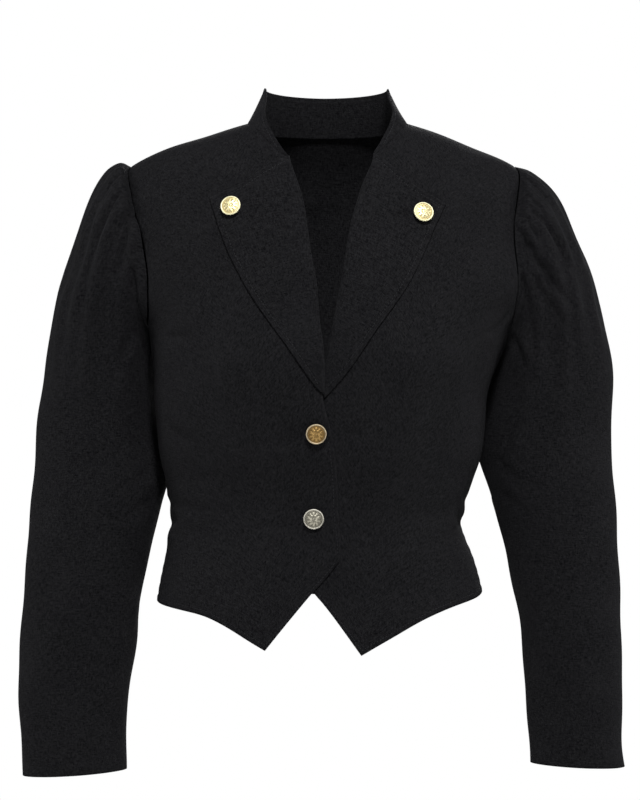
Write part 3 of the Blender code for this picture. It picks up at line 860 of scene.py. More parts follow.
@dataclass
class Tailor:
    """Cuts the cloth: turns sheets into finished pieces with their thickness and finish, and logs each one.
    """

    wool: WoolFinish
    thread: ThreadFinish
    stitch: float = 2.3
    pitch: float = 3.3
    thread_radius: float = 0.24

    def piece(self, sheet: Sheet) -> bpy.types.Object:
        """Make a sheet's mesh, give it its thickness, and fasten it to the frame.

        Args:
            sheet: The sheet, in millimetres.

        Returns:
            The piece.
        """
        rows, columns = sheet.grid.shape[:2]
        shape = bmesh.new()
        bmesh.ops.create_grid(shape, x_segments=columns - 1, y_segments=rows - 1, size=1)
        across = np.broadcast_to(lengths(sheet.grid, 1).mean(axis=0), (rows, columns))
        along = lengths(sheet.grid, 0)
        flat = np.stack([across, along], axis=-1).reshape(-1, 2) * MM
        layer = shape.loops.layers.uv.new("cloth")
        for vert, point in zip(shape.verts, (sheet.grid.reshape(-1, 3) * MM).tolist()):
            vert.co = point
        shape.verts.index_update()
        for face in shape.faces:
            for loop in face.loops:
                loop[layer].uv = flat[loop.vert.index]
        if sheet.reversed_face:
            bmesh.ops.reverse_faces(shape, faces=shape.faces)
        if sheet.closed:
            bmesh.ops.remove_doubles(shape, verts=shape.verts, dist=0.00002)
        piece = self.finished("wool_" + sheet.node, shape, self.wool)
        thicken = piece.modifiers.new("thickness", "SOLIDIFY")
        thicken.thickness = CLOTH * MM
        thicken.offset = 0
        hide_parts(sheet.node)
        cut = CUTS[sheet.node]
        size = (cut.width * MM, cut.length * MM)
        area = sum(face.area for face in piece.data.polygons)
        wide, long = lengths(sheet.grid, 1)[:, -1].max(), along[-1].max()
        log.info("%s: %.4f m2, at most %.0f mm across and %.0f mm along", piece.name, area, wide, long)
        return piece

    def finished(self, name: str, shape: bmesh.types.BMesh, finish: Finish) -> bpy.types.Object:
        """Turn a bmesh into a named piece that rides on the frame, and report it."""
        mesh = bpy.data.meshes.new(name)
        shape.to_mesh(mesh)
        shape.free()
        mesh.shade_smooth()
        mesh.materials.append(finish.material)
        piece = bpy.data.objects.new(name, mesh)
        bpy.context.scene.collection.objects.link(piece)
        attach(piece, BODY)
        log.info("%s: %d faces", name, len(mesh.polygons))
        return piece

    def edge_stitches(self, name: str, edges: tuple, span: tuple = (0.03, 0.97)) -> bpy.types.Object:
        """Sew along edges of sheets.

        Args:
            name: The piece's name.
            edges: Pairs of a sheet and its edge.
            span: The shares of the edge between which it is sewn.

        Returns:
            The stitches as one piece.
        """
        paths = []
        for sheet, edge in edges:
            path = sheet.path(edge, CLOTH / 2 + 0.4 * self.thread_radius)
            first, last = (round(share * (len(path) - 1)) for share in span)
            paths.append(path[first : last + 1])
        return self.stitches(name, paths)

    def stitches(self, name: str, paths: list[np.ndarray]) -> bpy.types.Object:
        """Sew evenly spaced stitches along paths.

        Args:
            name: The piece's name.
            paths: Rows of a point and its normal, in millimetres.

        Returns:
            The stitches as one piece.
        """
        shape = bmesh.new()
        size = Matrix.Diagonal((self.stitch / 2, self.thread_radius, self.thread_radius, 1.0))
        for path in paths:
            along = lengths(path[:, :3])
            count = int(along[-1] / self.pitch)
            for at in (np.arange(count) + 0.5) * along[-1] / count:
                middle = read_columns(at, along, path)
                ahead = read_columns(at + 0.5, along, path[:, :3])
                way = Vector(ahead - middle[:3]).normalized()
                side = Vector(middle[3:]).cross(way).normalized()
                turned = Matrix((way, side, way.cross(side))).transposed().to_4x4()
                place = Matrix.Scale(MM, 4) @ Matrix.Translation(Vector(middle[:3])) @ turned @ size
                bmesh.ops.create_uvsphere(shape, u_segments=6, v_segments=5, radius=1, matrix=place)
        return self.finished(name, shape, self.thread)


class FrontLines(NamedTuple):
    """The edges of one front as seen from the front, the inner ones upwards and the hem outwards."""

    closing: tuple
    roll: tuple
    neck: tuple
    hem: tuple


@dataclass
class Fronts:
    """The two fronts; the wearer's right one laps over the left."""

    form: BodyForm
    closing_cells: int = 64
    roll_cells: int = 80
    neck_cells: int = 40
    notch_cells: int = 40
    hem_cells: int = 72
    notch: tuple = (-8.5, -459.5)
    closing_stitched: tuple = (300, 312)  # depths below the neck over which the stitched edge sets in
    right: FrontLines = FrontLines(
        closing=((16, -430), (18, -410), (14.5, -364), (9.5, -310), (3, -285), (0, -268)),
        roll=((0, -268), (0, -238), (-5.5, -200), (-13, -142), (-19, -94), (-25.5, -70), (-34.5, -41)),
        neck=((-34.5, -41), (-53, -25), (-63, -13), (-67, -5)),
        hem=((-54.5, -515), (-69, -507), (-93, -493), (-118, -483)),
    )
    left: FrontLines = FrontLines(
        closing=((-28, -435), (-32, -410), (-30, -364), (-26, -310), (-15, -285), (-3, -268)),
        roll=((-3, -268), (5, -240), (17, -181), (25, -142), (33.5, -96), (41, -70), (51.5, -38)),
        neck=((51.5, -38), (66, -25), (75, -13), (79, -5)),
        hem=((37.5, -519.5), (58, -508), (105, -484), (136, -474)),
    )

    def panel(self, side: int, lines: FrontLines, side_hem: float) -> np.ndarray:
        """Lay out one front as (angle, height) pairs."""
        form = self.form
        inner = join(
            form.run(form.from_front(lines.closing), self.closing_cells),
            form.run(form.from_front(lines.roll), self.roll_cells),
            form.run(form.to_seam(lines.neck, side, TOP), self.neck_cells),
        )
        bottom = join(
            form.run(form.from_front((lines.closing[0], self.notch, lines.hem[0])), self.notch_cells),
            form.run(form.to_seam(lines.hem, side, side_hem), self.hem_cells),
        )
        top = form.shoulder_line(side, self.notch_cells + self.hem_cells)
        return form.patch(bottom, top, inner, form.outer_edge(side, side_hem, 0))

    def sheets(self) -> tuple[Sheet, Sheet]:
        """Lay the right and the left front on the body."""
        form = self.form
        right = self.panel(-1, self.right, form.hem_right)
        left = self.panel(1, self.left, form.hem_left)
        across = form.surface(right[..., 0], right[..., 1])[..., 0]
        lift = form.right_lift(across, right[..., 1])
        over = Sheet("front_right", form.laid(right, lift), reversed_face=True)
        under = Sheet("front_left", form.laid(left, np.zeros(left.shape[:2])))
        for sheet in (over, under):
            sheet.set_back((Edge.LAST, Edge.TOP))
            sheet.pucker(Edge.LAST, 0.3, 11.0, 7.0)
            sheet.press_stitched_edge(Edge.BOTTOM)
        closing = ease(-over.grid[..., 2], *self.closing_stitched)
        before = over.rise.copy()
        over.press_stitched_edge(Edge.FIRST)
        over.rise = before + (over.rise - before) * closing
        return over, under


@dataclass
class Back:
    """The back, from side seam to side seam, with the shoulders and the back of the neck along its top."""

    form: BodyForm
    shoulder_cells: int = 56
    neck_cells: int = 56

    def sheet(self) -> Sheet:
        """Lay the back on the body."""
        form = self.form
        edges = []
        for side, hem in ((-1, form.hem_right), (1, form.hem_left)):
            edge = form.outer_edge(side, hem, 360)
            edge[:, 0] = np.where(edge[:, 0] > 0, edge[:, 0] - 360, edge[:, 0])
            edges.append(edge)
        right_shoulder = form.shoulder_line(-1, self.shoulder_cells)[::-1]
        left_shoulder = form.shoulder_line(1, self.shoulder_cells)
        left_shoulder[:, 0] -= 360
        top = join(right_shoulder, form.back_neck(self.neck_cells), left_shoulder)
        hems = [
            (-90, form.hem_right),
            (-130, form.hem_right - 3),
            (-180, form.hem_back),
            (-230, form.hem_left - 5),
            (-270, form.hem_left),
        ]
        bottom = form.run(hems, 2 * self.shoulder_cells + self.neck_cells)
        grid = form.patch(bottom, top, edges[0], edges[1])
        sheet = Sheet("back", form.laid(grid, np.zeros(grid.shape[:2])), reversed_face=True)
        sheet.set_back((Edge.FIRST, Edge.LAST, Edge.TOP))
        for edge in (Edge.FIRST, Edge.LAST):
            sheet.pucker(edge, 0.3, 12.0, 7.0)
        sheet.press_stitched_edge(Edge.BOTTOM)
        return sheet


@dataclass
class Lapels:
    """The two pointed lapels, turned back onto the fronts."""

    form: BodyForm
    fronts: Fronts
    across: int = 72
    along: int = 150
    hook_cells: int = 12
    foot_fade: tuple = (0, 25)
    right_edge: tuple = (
        (-5, -264), (-28, -233), (-49, -204), (-68, -176), (-88, -138), (-103, -96), (-108, -81),
    )  # fmt: skip
    left_edge: tuple = (
        (2, -274), (22, -252), (47, -216), (66, -190), (87, -156), (102, -124), (118.5, -87.5),
    )  # fmt: skip
    right_top: tuple = ((-34.5, -41), (-60, -55.5), (-79, -68.5), (-108, -81))
    left_top: tuple = ((51.5, -38), (64, -48), (82, -65), (118.5, -87.5))

    def grid(self, side: int, edge, top, roll) -> np.ndarray:
        """Lay out one lapel, which ends in a roll around the front's edge."""
        form = self.form
        pairs = form.patch(
            form.run(form.from_front([edge[0], roll[0]]), self.across),
            form.run(form.from_front(top[::-1]), self.across),
            form.run(form.from_front(edge), self.along),
            form.run(form.from_front(roll), self.along),
        )
        angle, height = pairs[..., 0], pairs[..., 1]
        base = form.surface(angle, height)
        lift = form.right_lift(base[..., 0], height) if side < 0 else np.zeros(height.shape)
        flat = form.laid(pairs, lift + form.layer)
        normal = form.outward(angle[:, -1], height[:, -1])
        front_edge = form.laid(pairs[:, -1], lift[:, -1])
        way = flat[:, -1] - flat[:, -2]
        way -= (way * normal).sum(1)[:, None] * normal
        way = unit(way)
        hook = []
        for k in range(1, self.hook_cells + 1):
            turn = math.pi * k / self.hook_cells
            hook.append(front_edge + form.layer * (way * math.sin(turn) + normal * math.cos(turn)))
        return np.concatenate([flat, np.stack(hook, axis=1)], axis=1)

    def sheets(self) -> tuple[Sheet, Sheet]:
        """Lay the right and the left lapel on the fronts."""
        right = Sheet("lapel_right", self.grid(-1, self.right_edge, self.right_top, self.fronts.right.roll))
        grid = self.grid(1, self.left_edge, self.left_top, self.fronts.left.roll)
        left = Sheet("lapel_left", grid, reversed_face=True)
        for sheet in (right, left):
            sheet.press_stitched_edge(Edge.FIRST)
            sheet.press_stitched_edge(Edge.TOP)
            low = ease(lengths(sheet.grid, 0), *self.foot_fade)
            flat = np.arange(sheet.grid.shape[1]) <= self.across
            sheet.rise *= low * flat
        return right, left


@dataclass
class Collar:
    """The stand collar, on the neck seam from one lapel top round the back to the other."""

    form: BodyForm
    fronts: Fronts
    cells: int = 300
    tall: int = 30
    front_cells: int = 60
    back_cells: int = 80
    softness: float = 3.0
    stitched_from: tuple = (14, 22)  # heights of the collar over which its stitched edge sets in
    clearance: float = 0.5
    deepest: float = 3.2
    tucked: float = 1.5
    neck_x: float = 4.5
    neck_y: float = -2.0
    stands: tuple = tuple(
        Stand(*row)
        for row in (
            (0.00, 3, 2), (0.05, 12, 9), (0.11, 20, 16), (0.17, 28, 22), (0.24, 37, 18.5), (0.33, 38, 11),
            (0.50, 38, 6),
        )
    )

    def sheet(self) -> Sheet:
        """Stand the collar on the neck seam."""
        form = self.form
        right = form.run(form.to_seam(self.fronts.right.neck, -1, TOP), self.front_cells)
        left = form.run(form.to_seam(self.fronts.left.neck, 1, TOP), self.front_cells)[::-1]
        left[:, 0] -= 360
        seam = form.run(join(right, form.back_neck(self.back_cells), left), self.cells)
        base = form.surface(seam[:, 0], seam[:, 1])
        near_front = 0.5 - np.abs(np.linspace(-0.5, 0.5, self.cells + 1))
        shares = [s.share for s in self.stands]
        up = smooth(shares, [s.up for s in self.stands], near_front)
        inward = smooth(shares, [s.inward for s in self.stands], near_front)
        to_axis = unit(np.array([self.neck_x, self.neck_y]) - base[:, :2])
        rise = np.concatenate([to_axis * inward[:, None], up[:, None]], axis=1)
        normal = form.outward(seam[:, 0], seam[:, 1])
        length = np.linalg.norm(rise, axis=1)
        slant = np.linalg.norm(np.cross(normal, rise), axis=1) / length
        inside = np.minimum((CLOTH + self.clearance) / np.maximum(slant, 0.2), self.deepest)
        foot = base - normal * inside[:, None] - rise / length[:, None] * self.tucked
        rows = [foot + (base + rise - foot) * share for share in np.linspace(0, 1, self.tall + 1)]
        grid = softened(np.stack(rows, axis=1), self.softness).transpose(1, 0, 2)
        sheet = Sheet("collar", grid, reversed_face=True)
        heights = np.broadcast_to(lengths(grid, 0)[-1], grid.shape[:2])
        tall_enough = ease(heights, *self.stitched_from)
        sheet.press_stitched_edge(Edge.TOP)
        sheet.rise *= tall_enough
        return sheet


@dataclass
class Sleeves:
    """The two full sleeves, gathered into the armholes and narrowing to plain cuffs."""

    form: BodyForm
    around: int = 220
    along: int = 210
    seam: float = 1.2
    head_lift: float = 1.8
    crowding: float = 0.45
    head_crowding: float = 1.15
    gather_start: float = 0.035
    gather_hold: float = 0.55
    dip: float = 0.6
    samples: int = 800
    softness: float = 12.0
    softened_from: tuple = (4, 40)  # distances from the seam over which the rounding sets in
    right_rings: tuple = tuple(
        Ring(*row)
        for row in (
            (-201, -39.5, -174.5, -209, 59, 1, 5), (-211, -44, -173, -216, 62, 2, 12),
            (-221, -56, -172.5, -222, 65, 3, 18), (-233.5, -78, -169.5, -229, 67, 5, 26),
            (-247.5, -116, -167.5, -240, 67, 8, 33), (-263, -166, -165.5, -262, 65, 12, 31),
            (-273, -216, -163, -292, 63, 16, 27), (-281, -268, -160, -322, 60, 18, 22),
            (-286, -316, -156, -350, 56, 18, 14), (-290, -370, -163, -382, 52, 14, 6),
            (-294.5, -430, -173.5, -431, 47, 7, 2), (-298.5, -490, -182, -489, 42, 0, 0),
            (-301, -551, -189, -547, 37, -8, 0), (-299, -604, -194.5, -600, 33, -17, 0),
            (-296, -647, -194.5, -640.5, 31, -24, 0),
        )
    )
    left_rings: tuple = tuple(
        Ring(*row)
        for row in (
            (206, -47, 190.5, -208, 59, 1, 5), (216, -53, 187, -215, 62, 2, 12),
            (227, -64, 183.5, -222, 65, 3, 14), (239.5, -82, 178.5, -231, 67, 5, 25),
            (255, -114, 175, -242, 67, 8, 33), (274, -160, 165.5, -266, 65, 12, 31),
            (286, -208, 161, -294, 63, 16, 27), (291, -260, 158.5, -322, 60, 18, 22),
            (290, -310, 165, -348, 56, 18, 14), (292.5, -362, 173, -376, 52, 14, 6),
            (295.5, -424, 185.5, -426, 47, 7, 2), (297, -484, 196, -485, 42, 0, 0),
            (298, -546, 202.5, -542, 37, -8, 0), (298.5, -600, 206, -595, 33, -17, 0),
            (300.5, -638, 208.5, -634, 31, -24, 0),
        )
    )
    gathers: tuple = tuple(
        Gather(*row)
        for row in (
            (-98, -104, 0.24, 3.2, 9), (-76, -86, 0.36, 4.4, 9), (-54, -68, 0.34, 4.2, 8),
            (-34, -46, 0.42, 4.4, 8), (-14, -20, 0.30, 2.4, 7), (6, 9, 0.28, 2.0, 6),
            (24, 38, 0.38, 3.4, 7), (42, 60, 0.32, 4.8, 7), (60, 82, 0.44, 5.4, 8),
            (80, 98, 0.30, 4.6, 8), (99, 112, 0.40, 3.8, 9), (120, 124, 0.14, 3.4, 20),
        )
    )
    small_gathers: tuple = tuple(
        Gather(*row)
        for row in (
            (-87, -92, 0.10, 1.8, 3.2), (-65, -70, 0.12, 2.0, 3.2), (-44, -49, 0.10, 2.2, 3.0),
            (-24, -28, 0.11, 2.2, 2.8), (-4, -5, 0.10, 2.0, 2.6), (15, 18, 0.10, 2.2, 2.6),
            (28, 32, 0.07, 2.0, 2.2), (35, 40, 0.09, 2.6, 2.3), (45, 51, 0.07, 2.4, 2.2),
            (53, 60, 0.09, 2.8, 2.4), (65, 72, 0.07, 2.4, 2.3), (73, 81, 0.09, 2.6, 2.5),
            (88, 94, 0.08, 2.0, 3.0),
        )
    )

    def turns(self) -> np.ndarray:
        """Degrees round a sleeve, crowded towards its top."""
        turn = np.linspace(0, 360, self.around + 1)
        return turn - np.degrees(self.crowding * np.sin(np.radians(turn)))

    def shares(self) -> np.ndarray:
        """Shares of the way down a sleeve, crowded towards its head."""
        return np.linspace(0, 1, self.along + 1) ** self.head_crowding

    def grid(self, side: int, rings: tuple[Ring, ...]) -> np.ndarray:
        """Lay out a sleeve as closed loops, from the cuff up to the armhole seam."""
        form = self.form
        turn = self.turns()
        hole = form.armhole(turn, side)
        seam = form.surface(hole[:, 0], hole[:, 1])
        to_middle = seam[:-1].mean(axis=0) - seam
        seam = seam + self.seam * unit(to_middle)
        seam = seam + self.head_lift * form.outward(hole[:, 0], hole[:, 1])
        loops = [seam]
        radians = np.radians(turn)
        for ring in rings:
            outer = np.array([ring.outer_x, ring.mid_y, ring.outer_z])
            inner = np.array([ring.inner_x, ring.mid_y + ring.tuck, ring.inner_z])
            across = np.cos(radians)[:, None] * (outer - inner) / 2
            forward = np.sin(radians)[:, None] * np.array([0, -ring.half_depth, 0])
            loops.append((outer + inner) / 2 + across + forward)
        loops = np.stack(loops)
        gaps = np.linalg.norm(np.diff(loops, axis=0), axis=2).mean(axis=1)
        reach = np.concatenate([[0], np.cumsum(gaps)])
        fine = np.linspace(0, reach[-1], self.samples)
        columns = range(self.around + 1)
        grid = np.stack([smooth_columns(reach, loops[:, c], fine) for c in columns], axis=1)
        grid = grid + (softened(grid, self.softness) - grid) * ease(fine, *self.softened_from)[:, None, None]
        at = self.shares() * reach[-1]
        laid = np.stack([read_columns(at, fine, grid[:, c]) for c in columns], axis=1)
        laid[:, -1] = laid[:, 0]
        return laid[::-1]

    def gathered(self, sheet: Sheet) -> None:
        """Raise the folds of the sleeve's head."""
        turn, share = self.turns(), self.shares()[::-1]
        for fold in self.gathers + self.small_gathers:
            way = np.clip(share / fold.reach, 0, 1)
            centre = fold.seam_angle + (fold.end_angle - fold.seam_angle) * way
            fade = 1 - ease(share, self.gather_hold * fold.reach, fold.reach)
            swell = ease(share, 0, self.gather_start) * fade
            off = (turn[None, :] - centre[:, None] + 180) % 360 - 180
            widths = off / fold.width
            ridge = np.exp(-(widths**2)) - self.dip * np.exp(-((widths / 2) ** 2))
            sheet.rise += fold.rise * swell[:, None] * ridge

    def sheets(self) -> tuple[Sheet, Sheet]:
        """Lay the right and the left sleeve."""
        right = Sheet("sleeve_right", self.grid(-1, self.right_rings), closed=True)
        left = Sheet("sleeve_left", self.grid(1, self.left_rings), closed=True, reversed_face=True)
        for sheet in (right, left):
            self.gathered(sheet)
        return right, left


CLOSING_STITCHED = (0.02, 0.26)  # shares of the right front's edge, upwards, that are stitched

BODY_CREASES = (
    *creases(
        Seen.FRONT,
        (((-148, -215), (-136, -214), (-124, -217)), 1.4, 3.2),
        (((-150, -300), (-128, -318), (-98, -330)), 1.3, 7.2),
        (((-146, -378), (-118, -384), (-84, -380)), 1.3, 7.2),
        (((-140, -396), (-112, -408), (-78, -410)), 1.0, 6.4),
        (((138, -378), (112, -388), (80, -386)), 1.4, 7.2),
        (((140, -400), (116, -414), (86, -420)), 1.3, 6.4),
        (((186, -186), (170, -206), (150, -214)), 1.4, 4.0),
        (((12, -312), (34, -306), (62, -292)), 0.9, 4.8),
        (((-20, -312), (-44, -318), (-72, -316)), 0.8, 4.8),
        (((-22, -392), (-48, -400), (-80, -398)), 0.8, 4.8),
    ),
    *creases(
        Seen.WEARERS_LEFT,
        (((-40, -392), (0, -398), (44, -390)), 2.1, 6.4),
        (((30, -372), (-6, -378), (-46, -366)), 1.6, 5.6),
        (((-20, -216), (-14, -250), (-6, -286)), 1.8, 6.4),
    ),
    *creases(
        Seen.WEARERS_RIGHT,
        (((-40, -394), (0, -400), (40, -392)), 2.1, 6.4),
        (((28, -374), (-4, -380), (-44, -370)), 1.6, 5.6),
        (((14, -214), (12, -248), (4, -282)), 1.8, 6.4),
    ),
    *creases(
        Seen.BACK,
        (((-140, -384), (-96, -392), (-52, -388)), 2.1, 7.2),
        (((-138, -404), (-104, -410), (-66, -412)), 1.6, 6.4),
        (((136, -386), (92, -394), (44, -386)), 2.1, 7.2),
        (((138, -406), (100, -414), (58, -410)), 1.6, 6.4),
        (((-176, -160), (-150, -196), (-128, -250)), 2.5, 8.0),
        (((-172, -186), (-150, -214), (-126, -236)), 1.4, 4.8),
        (((178, -162), (152, -200), (132, -256)), 2.5, 8.0),
        (((174, -188), (150, -216), (124, -232)), 1.4, 4.8),
        (((-86, -432), (-80, -380), (-74, -310), (-72, -262)), 2.3, 7.2, 0.2),
        (((84, -432), (78, -380), (74, -310), (72, -262)), 2.3, 7.2, 0.2),
        (((-54, -62), (-10, -72), (46, -64)), 1.3, 8.0),
    ),
)

RIGHT_SLEEVE_CREASES = (
    *creases(
        Seen.FRONT,
        (((-187, -96), (-194, -124), (-202, -150), (-216, -197)), 3.8, 4.5),
        (((-186, -150), (-183, -186), (-180, -222), (-176, -277)), 3.4, 4.5),
        (((-200, -78), (-218, -108), (-230, -140), (-240, -176)), 2.3, 4.5),
        (((-190, -212), (-200, -240), (-214, -272)), 2.3, 5.1),
        (((-168, -340), (-192, -362), (-224, -372)), 1.4, 5.8),
        (((-168, -372), (-196, -392), (-228, -398)), 1.1, 5.8),
        (((-182, -470), (-204, -500), (-232, -520)), 1.7, 5.8),
    ),
    *creases(
        Seen.BACK,
        (((-184, -112), (-196, -150), (-214, -196)), 3.4, 4.5),
        (((-182, -166), (-186, -214), (-196, -268)), 3.2, 5.1),
        (((-206, -90), (-226, -126), (-240, -170)), 2.3, 4.5),
        (((-168, -352), (-196, -360), (-232, -352)), 3.4, 5.1),
        (((-170, -380), (-200, -396), (-240, -398)), 2.8, 5.1),
        (((-262, -330), (-250, -350), (-226, -366)), 2.5, 5.1),
    ),
    *creases(
        Seen.WEARERS_RIGHT,
        (((-20, -140), (-26, -190), (-18, -250)), 1.9, 6.4),
        (((24, -150), (30, -210), (22, -280)), 1.9, 6.4),
    ),
    *creases(
        Seen.WEARERS_LEFT,
        (((-18, -300), (-4, -340), (10, -380)), 2.3, 5.1),
    ),
)

LEFT_SLEEVE_CREASES = (
    *creases(
        Seen.FRONT,
        (((203, -86), (223, -110), (234, -128), (247, -150), (259, -165)), 3.0, 3.5),
        (((193, -111), (205, -130), (223, -157), (238, -176), (253, -186)), 4.5, 3.8),
        (((209, -157), (219, -176), (230, -190), (241, -214)), 2.8, 3.8),
        (((197, -155), (203, -186), (207, -222), (209, -259)), 3.2, 4.2),
        (((190, -214), (200, -240), (214, -268)), 2.1, 4.5),
        (((174, -336), (198, -356), (230, -366)), 1.4, 5.8),
        (((176, -366), (204, -388), (236, -394)), 1.1, 5.8),
        (((198, -470), (220, -498), (246, -514)), 1.7, 5.8),
    ),
    *creases(
        Seen.BACK,
        (((200, -112), (212, -150), (228, -192)), 3.4, 4.5),
        (((194, -166), (198, -214), (206, -266)), 3.2, 5.1),
        (((222, -94), (240, -126), (254, -166)), 2.2, 4.5),
        (((176, -350), (204, -358), (238, -350)), 3.4, 5.1),
        (((178, -378), (208, -394), (246, -394)), 2.8, 5.1),
        (((268, -326), (256, -346), (232, -362)), 2.4, 5.1),
    ),
    *creases(
        Seen.WEARERS_LEFT,
        (((-20, -140), (-26, -190), (-18, -250)), 1.9, 6.4),
        (((24, -150), (30, -210), (22, -280)), 1.9, 6.4),
    ),
    *creases(
        Seen.WEARERS_RIGHT,
        (((-18, -300), (-4, -340), (10, -380)), 2.2, 5.1),
    ),
)


@dataclass
class Button:
    """A stamped metal button with a rosette and a milled rim, square to the cloth under it."""

    node: str
    x: float
    height: float
    layers: int
    metal: Metal
    over_closing: bool = False
    sides: int = 120
    gap: float = 0.7
    face: float = 3.0  # height above which the profile is stamped
    deepest: float = 0.42  # relief that counts as full, for the painted shade and patina of the hollows
    profile: tuple = (
        (0.0, 0.0), (2.5, 0.0), (2.5, 1.8), (8.4, 1.9), (9.2, 2.15), (9.6, 2.5), (9.8, 3.0), (9.72, 3.45),
        (9.5, 3.8), (9.2, 3.98), (8.9, 4.0), (8.6, 3.92), (8.35, 3.65), (8.15, 3.42), (7.9, 3.36),
        (7.6, 3.4), (7.3, 3.48), (7.0, 3.55), (6.6, 3.64), (6.2, 3.74), (5.8, 3.83), (5.4, 3.92),
        (5.0, 4.0), (4.6, 4.08), (4.2, 4.15), (3.8, 4.22), (3.4, 4.28), (3.0, 4.33), (2.6, 4.38),
        (2.2, 4.42), (1.8, 4.45), (1.4, 4.48), (1.0, 4.5), (0.6, 4.52), (0.3, 4.52), (0.0, 4.52),
    )  # fmt: skip

    @staticmethod
    def stamped(radius: float, angle: float) -> float:
        """Read how high the stamped rosette stands at a place on the button's face."""

        def ring(inner: float, outer: float, power: float = 1.0) -> float:
            """Swell between two radii."""
            share = min(1.0, max(0.0, (radius - inner) / (outer - inner)))
            return math.sin(math.pi * share) ** power if 0 < share < 1 else 0.0

        dome = math.sqrt(max(0.0, 1 - (radius / 1.2) ** 2))
        petal = abs(math.cos(5 * angle)) ** 0.7
        between = abs(math.sin(5 * angle)) ** 1.3
        bead = 0.5 + 0.5 * math.cos(30 * angle)
        milling = math.cos(60 * angle + 1.6 * radius)
        flower = 0.4 * dome + 0.46 * petal * ring(1.2, 4.6, 0.7) + 0.42 * between * ring(3.2, 7.0, 0.8)
        return flower + 0.26 * bead * ring(6.6, 8.2) + 0.09 * milling * ring(8.5, 9.85)

    def make(self, form: BodyForm, tailor: Tailor, finishes: dict) -> bpy.types.Object:
        """Spin the button's outline, stamp its face and set it on the cloth.

        Args:
            form: The body that the cloth lies on.
            tailor: Fastens the piece to the frame.
            finishes: The metals.

        Returns:
            The button.
        """
        pair = form.from_front([(self.x, self.height)])
        lift = self.layers * form.layer + CLOTH / 2 + self.gap
        if self.over_closing or self.x < 0:
            lift += float(form.right_lift(np.array(self.x), np.array(self.height)))
        place = form.laid(pair, np.array([lift]))[0]
        normal = Vector(form.outward(pair[:, 0], pair[:, 1])[0])
        shape = bmesh.new()
        line = [shape.verts.new((r, 0, h)) for r, h in self.profile]
        edges = [shape.edges.new(ends) for ends in zip(line, line[1:])]
        bmesh.ops.spin(
            shape,
            geom=line + edges,
            cent=(0, 0, 0),
            axis=(0, 0, 1),
            angle=2 * math.pi,
            steps=self.sides,
            use_merge=True,
            use_duplicate=False,
        )
        bmesh.ops.remove_doubles(shape, verts=shape.verts, dist=0.001)
        bmesh.ops.recalc_face_normals(shape, faces=shape.faces)
        relief = shape.verts.layers.float.new("relief")
        rim = shape.verts.layers.float.new("rim")
        for vert in shape.verts:
            radius = math.hypot(vert.co.x, vert.co.y)
            if vert.co.z > self.face:
                stamped = self.stamped(radius, math.atan2(vert.co.y, vert.co.x))
                vert.co.z += stamped
                # the relief sets the painted shade and patina of the hollows
                vert[relief] = min(1.0, stamped / self.deepest)
            vert[rim] = float(ease(radius, 8.0, 8.7))
        upright = Vector((0, 0, 1)).rotation_difference(normal).to_matrix().to_4x4()
        move = Matrix.Translation(Vector(place * MM)) @ upright @ Matrix.Scale(MM, 4)
        bmesh.ops.transform(shape, matrix=move, verts=shape.verts)
        piece = tailor.finished("metal_" + self.node, shape, finishes[self.metal])
        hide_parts(self.node)
        return piece


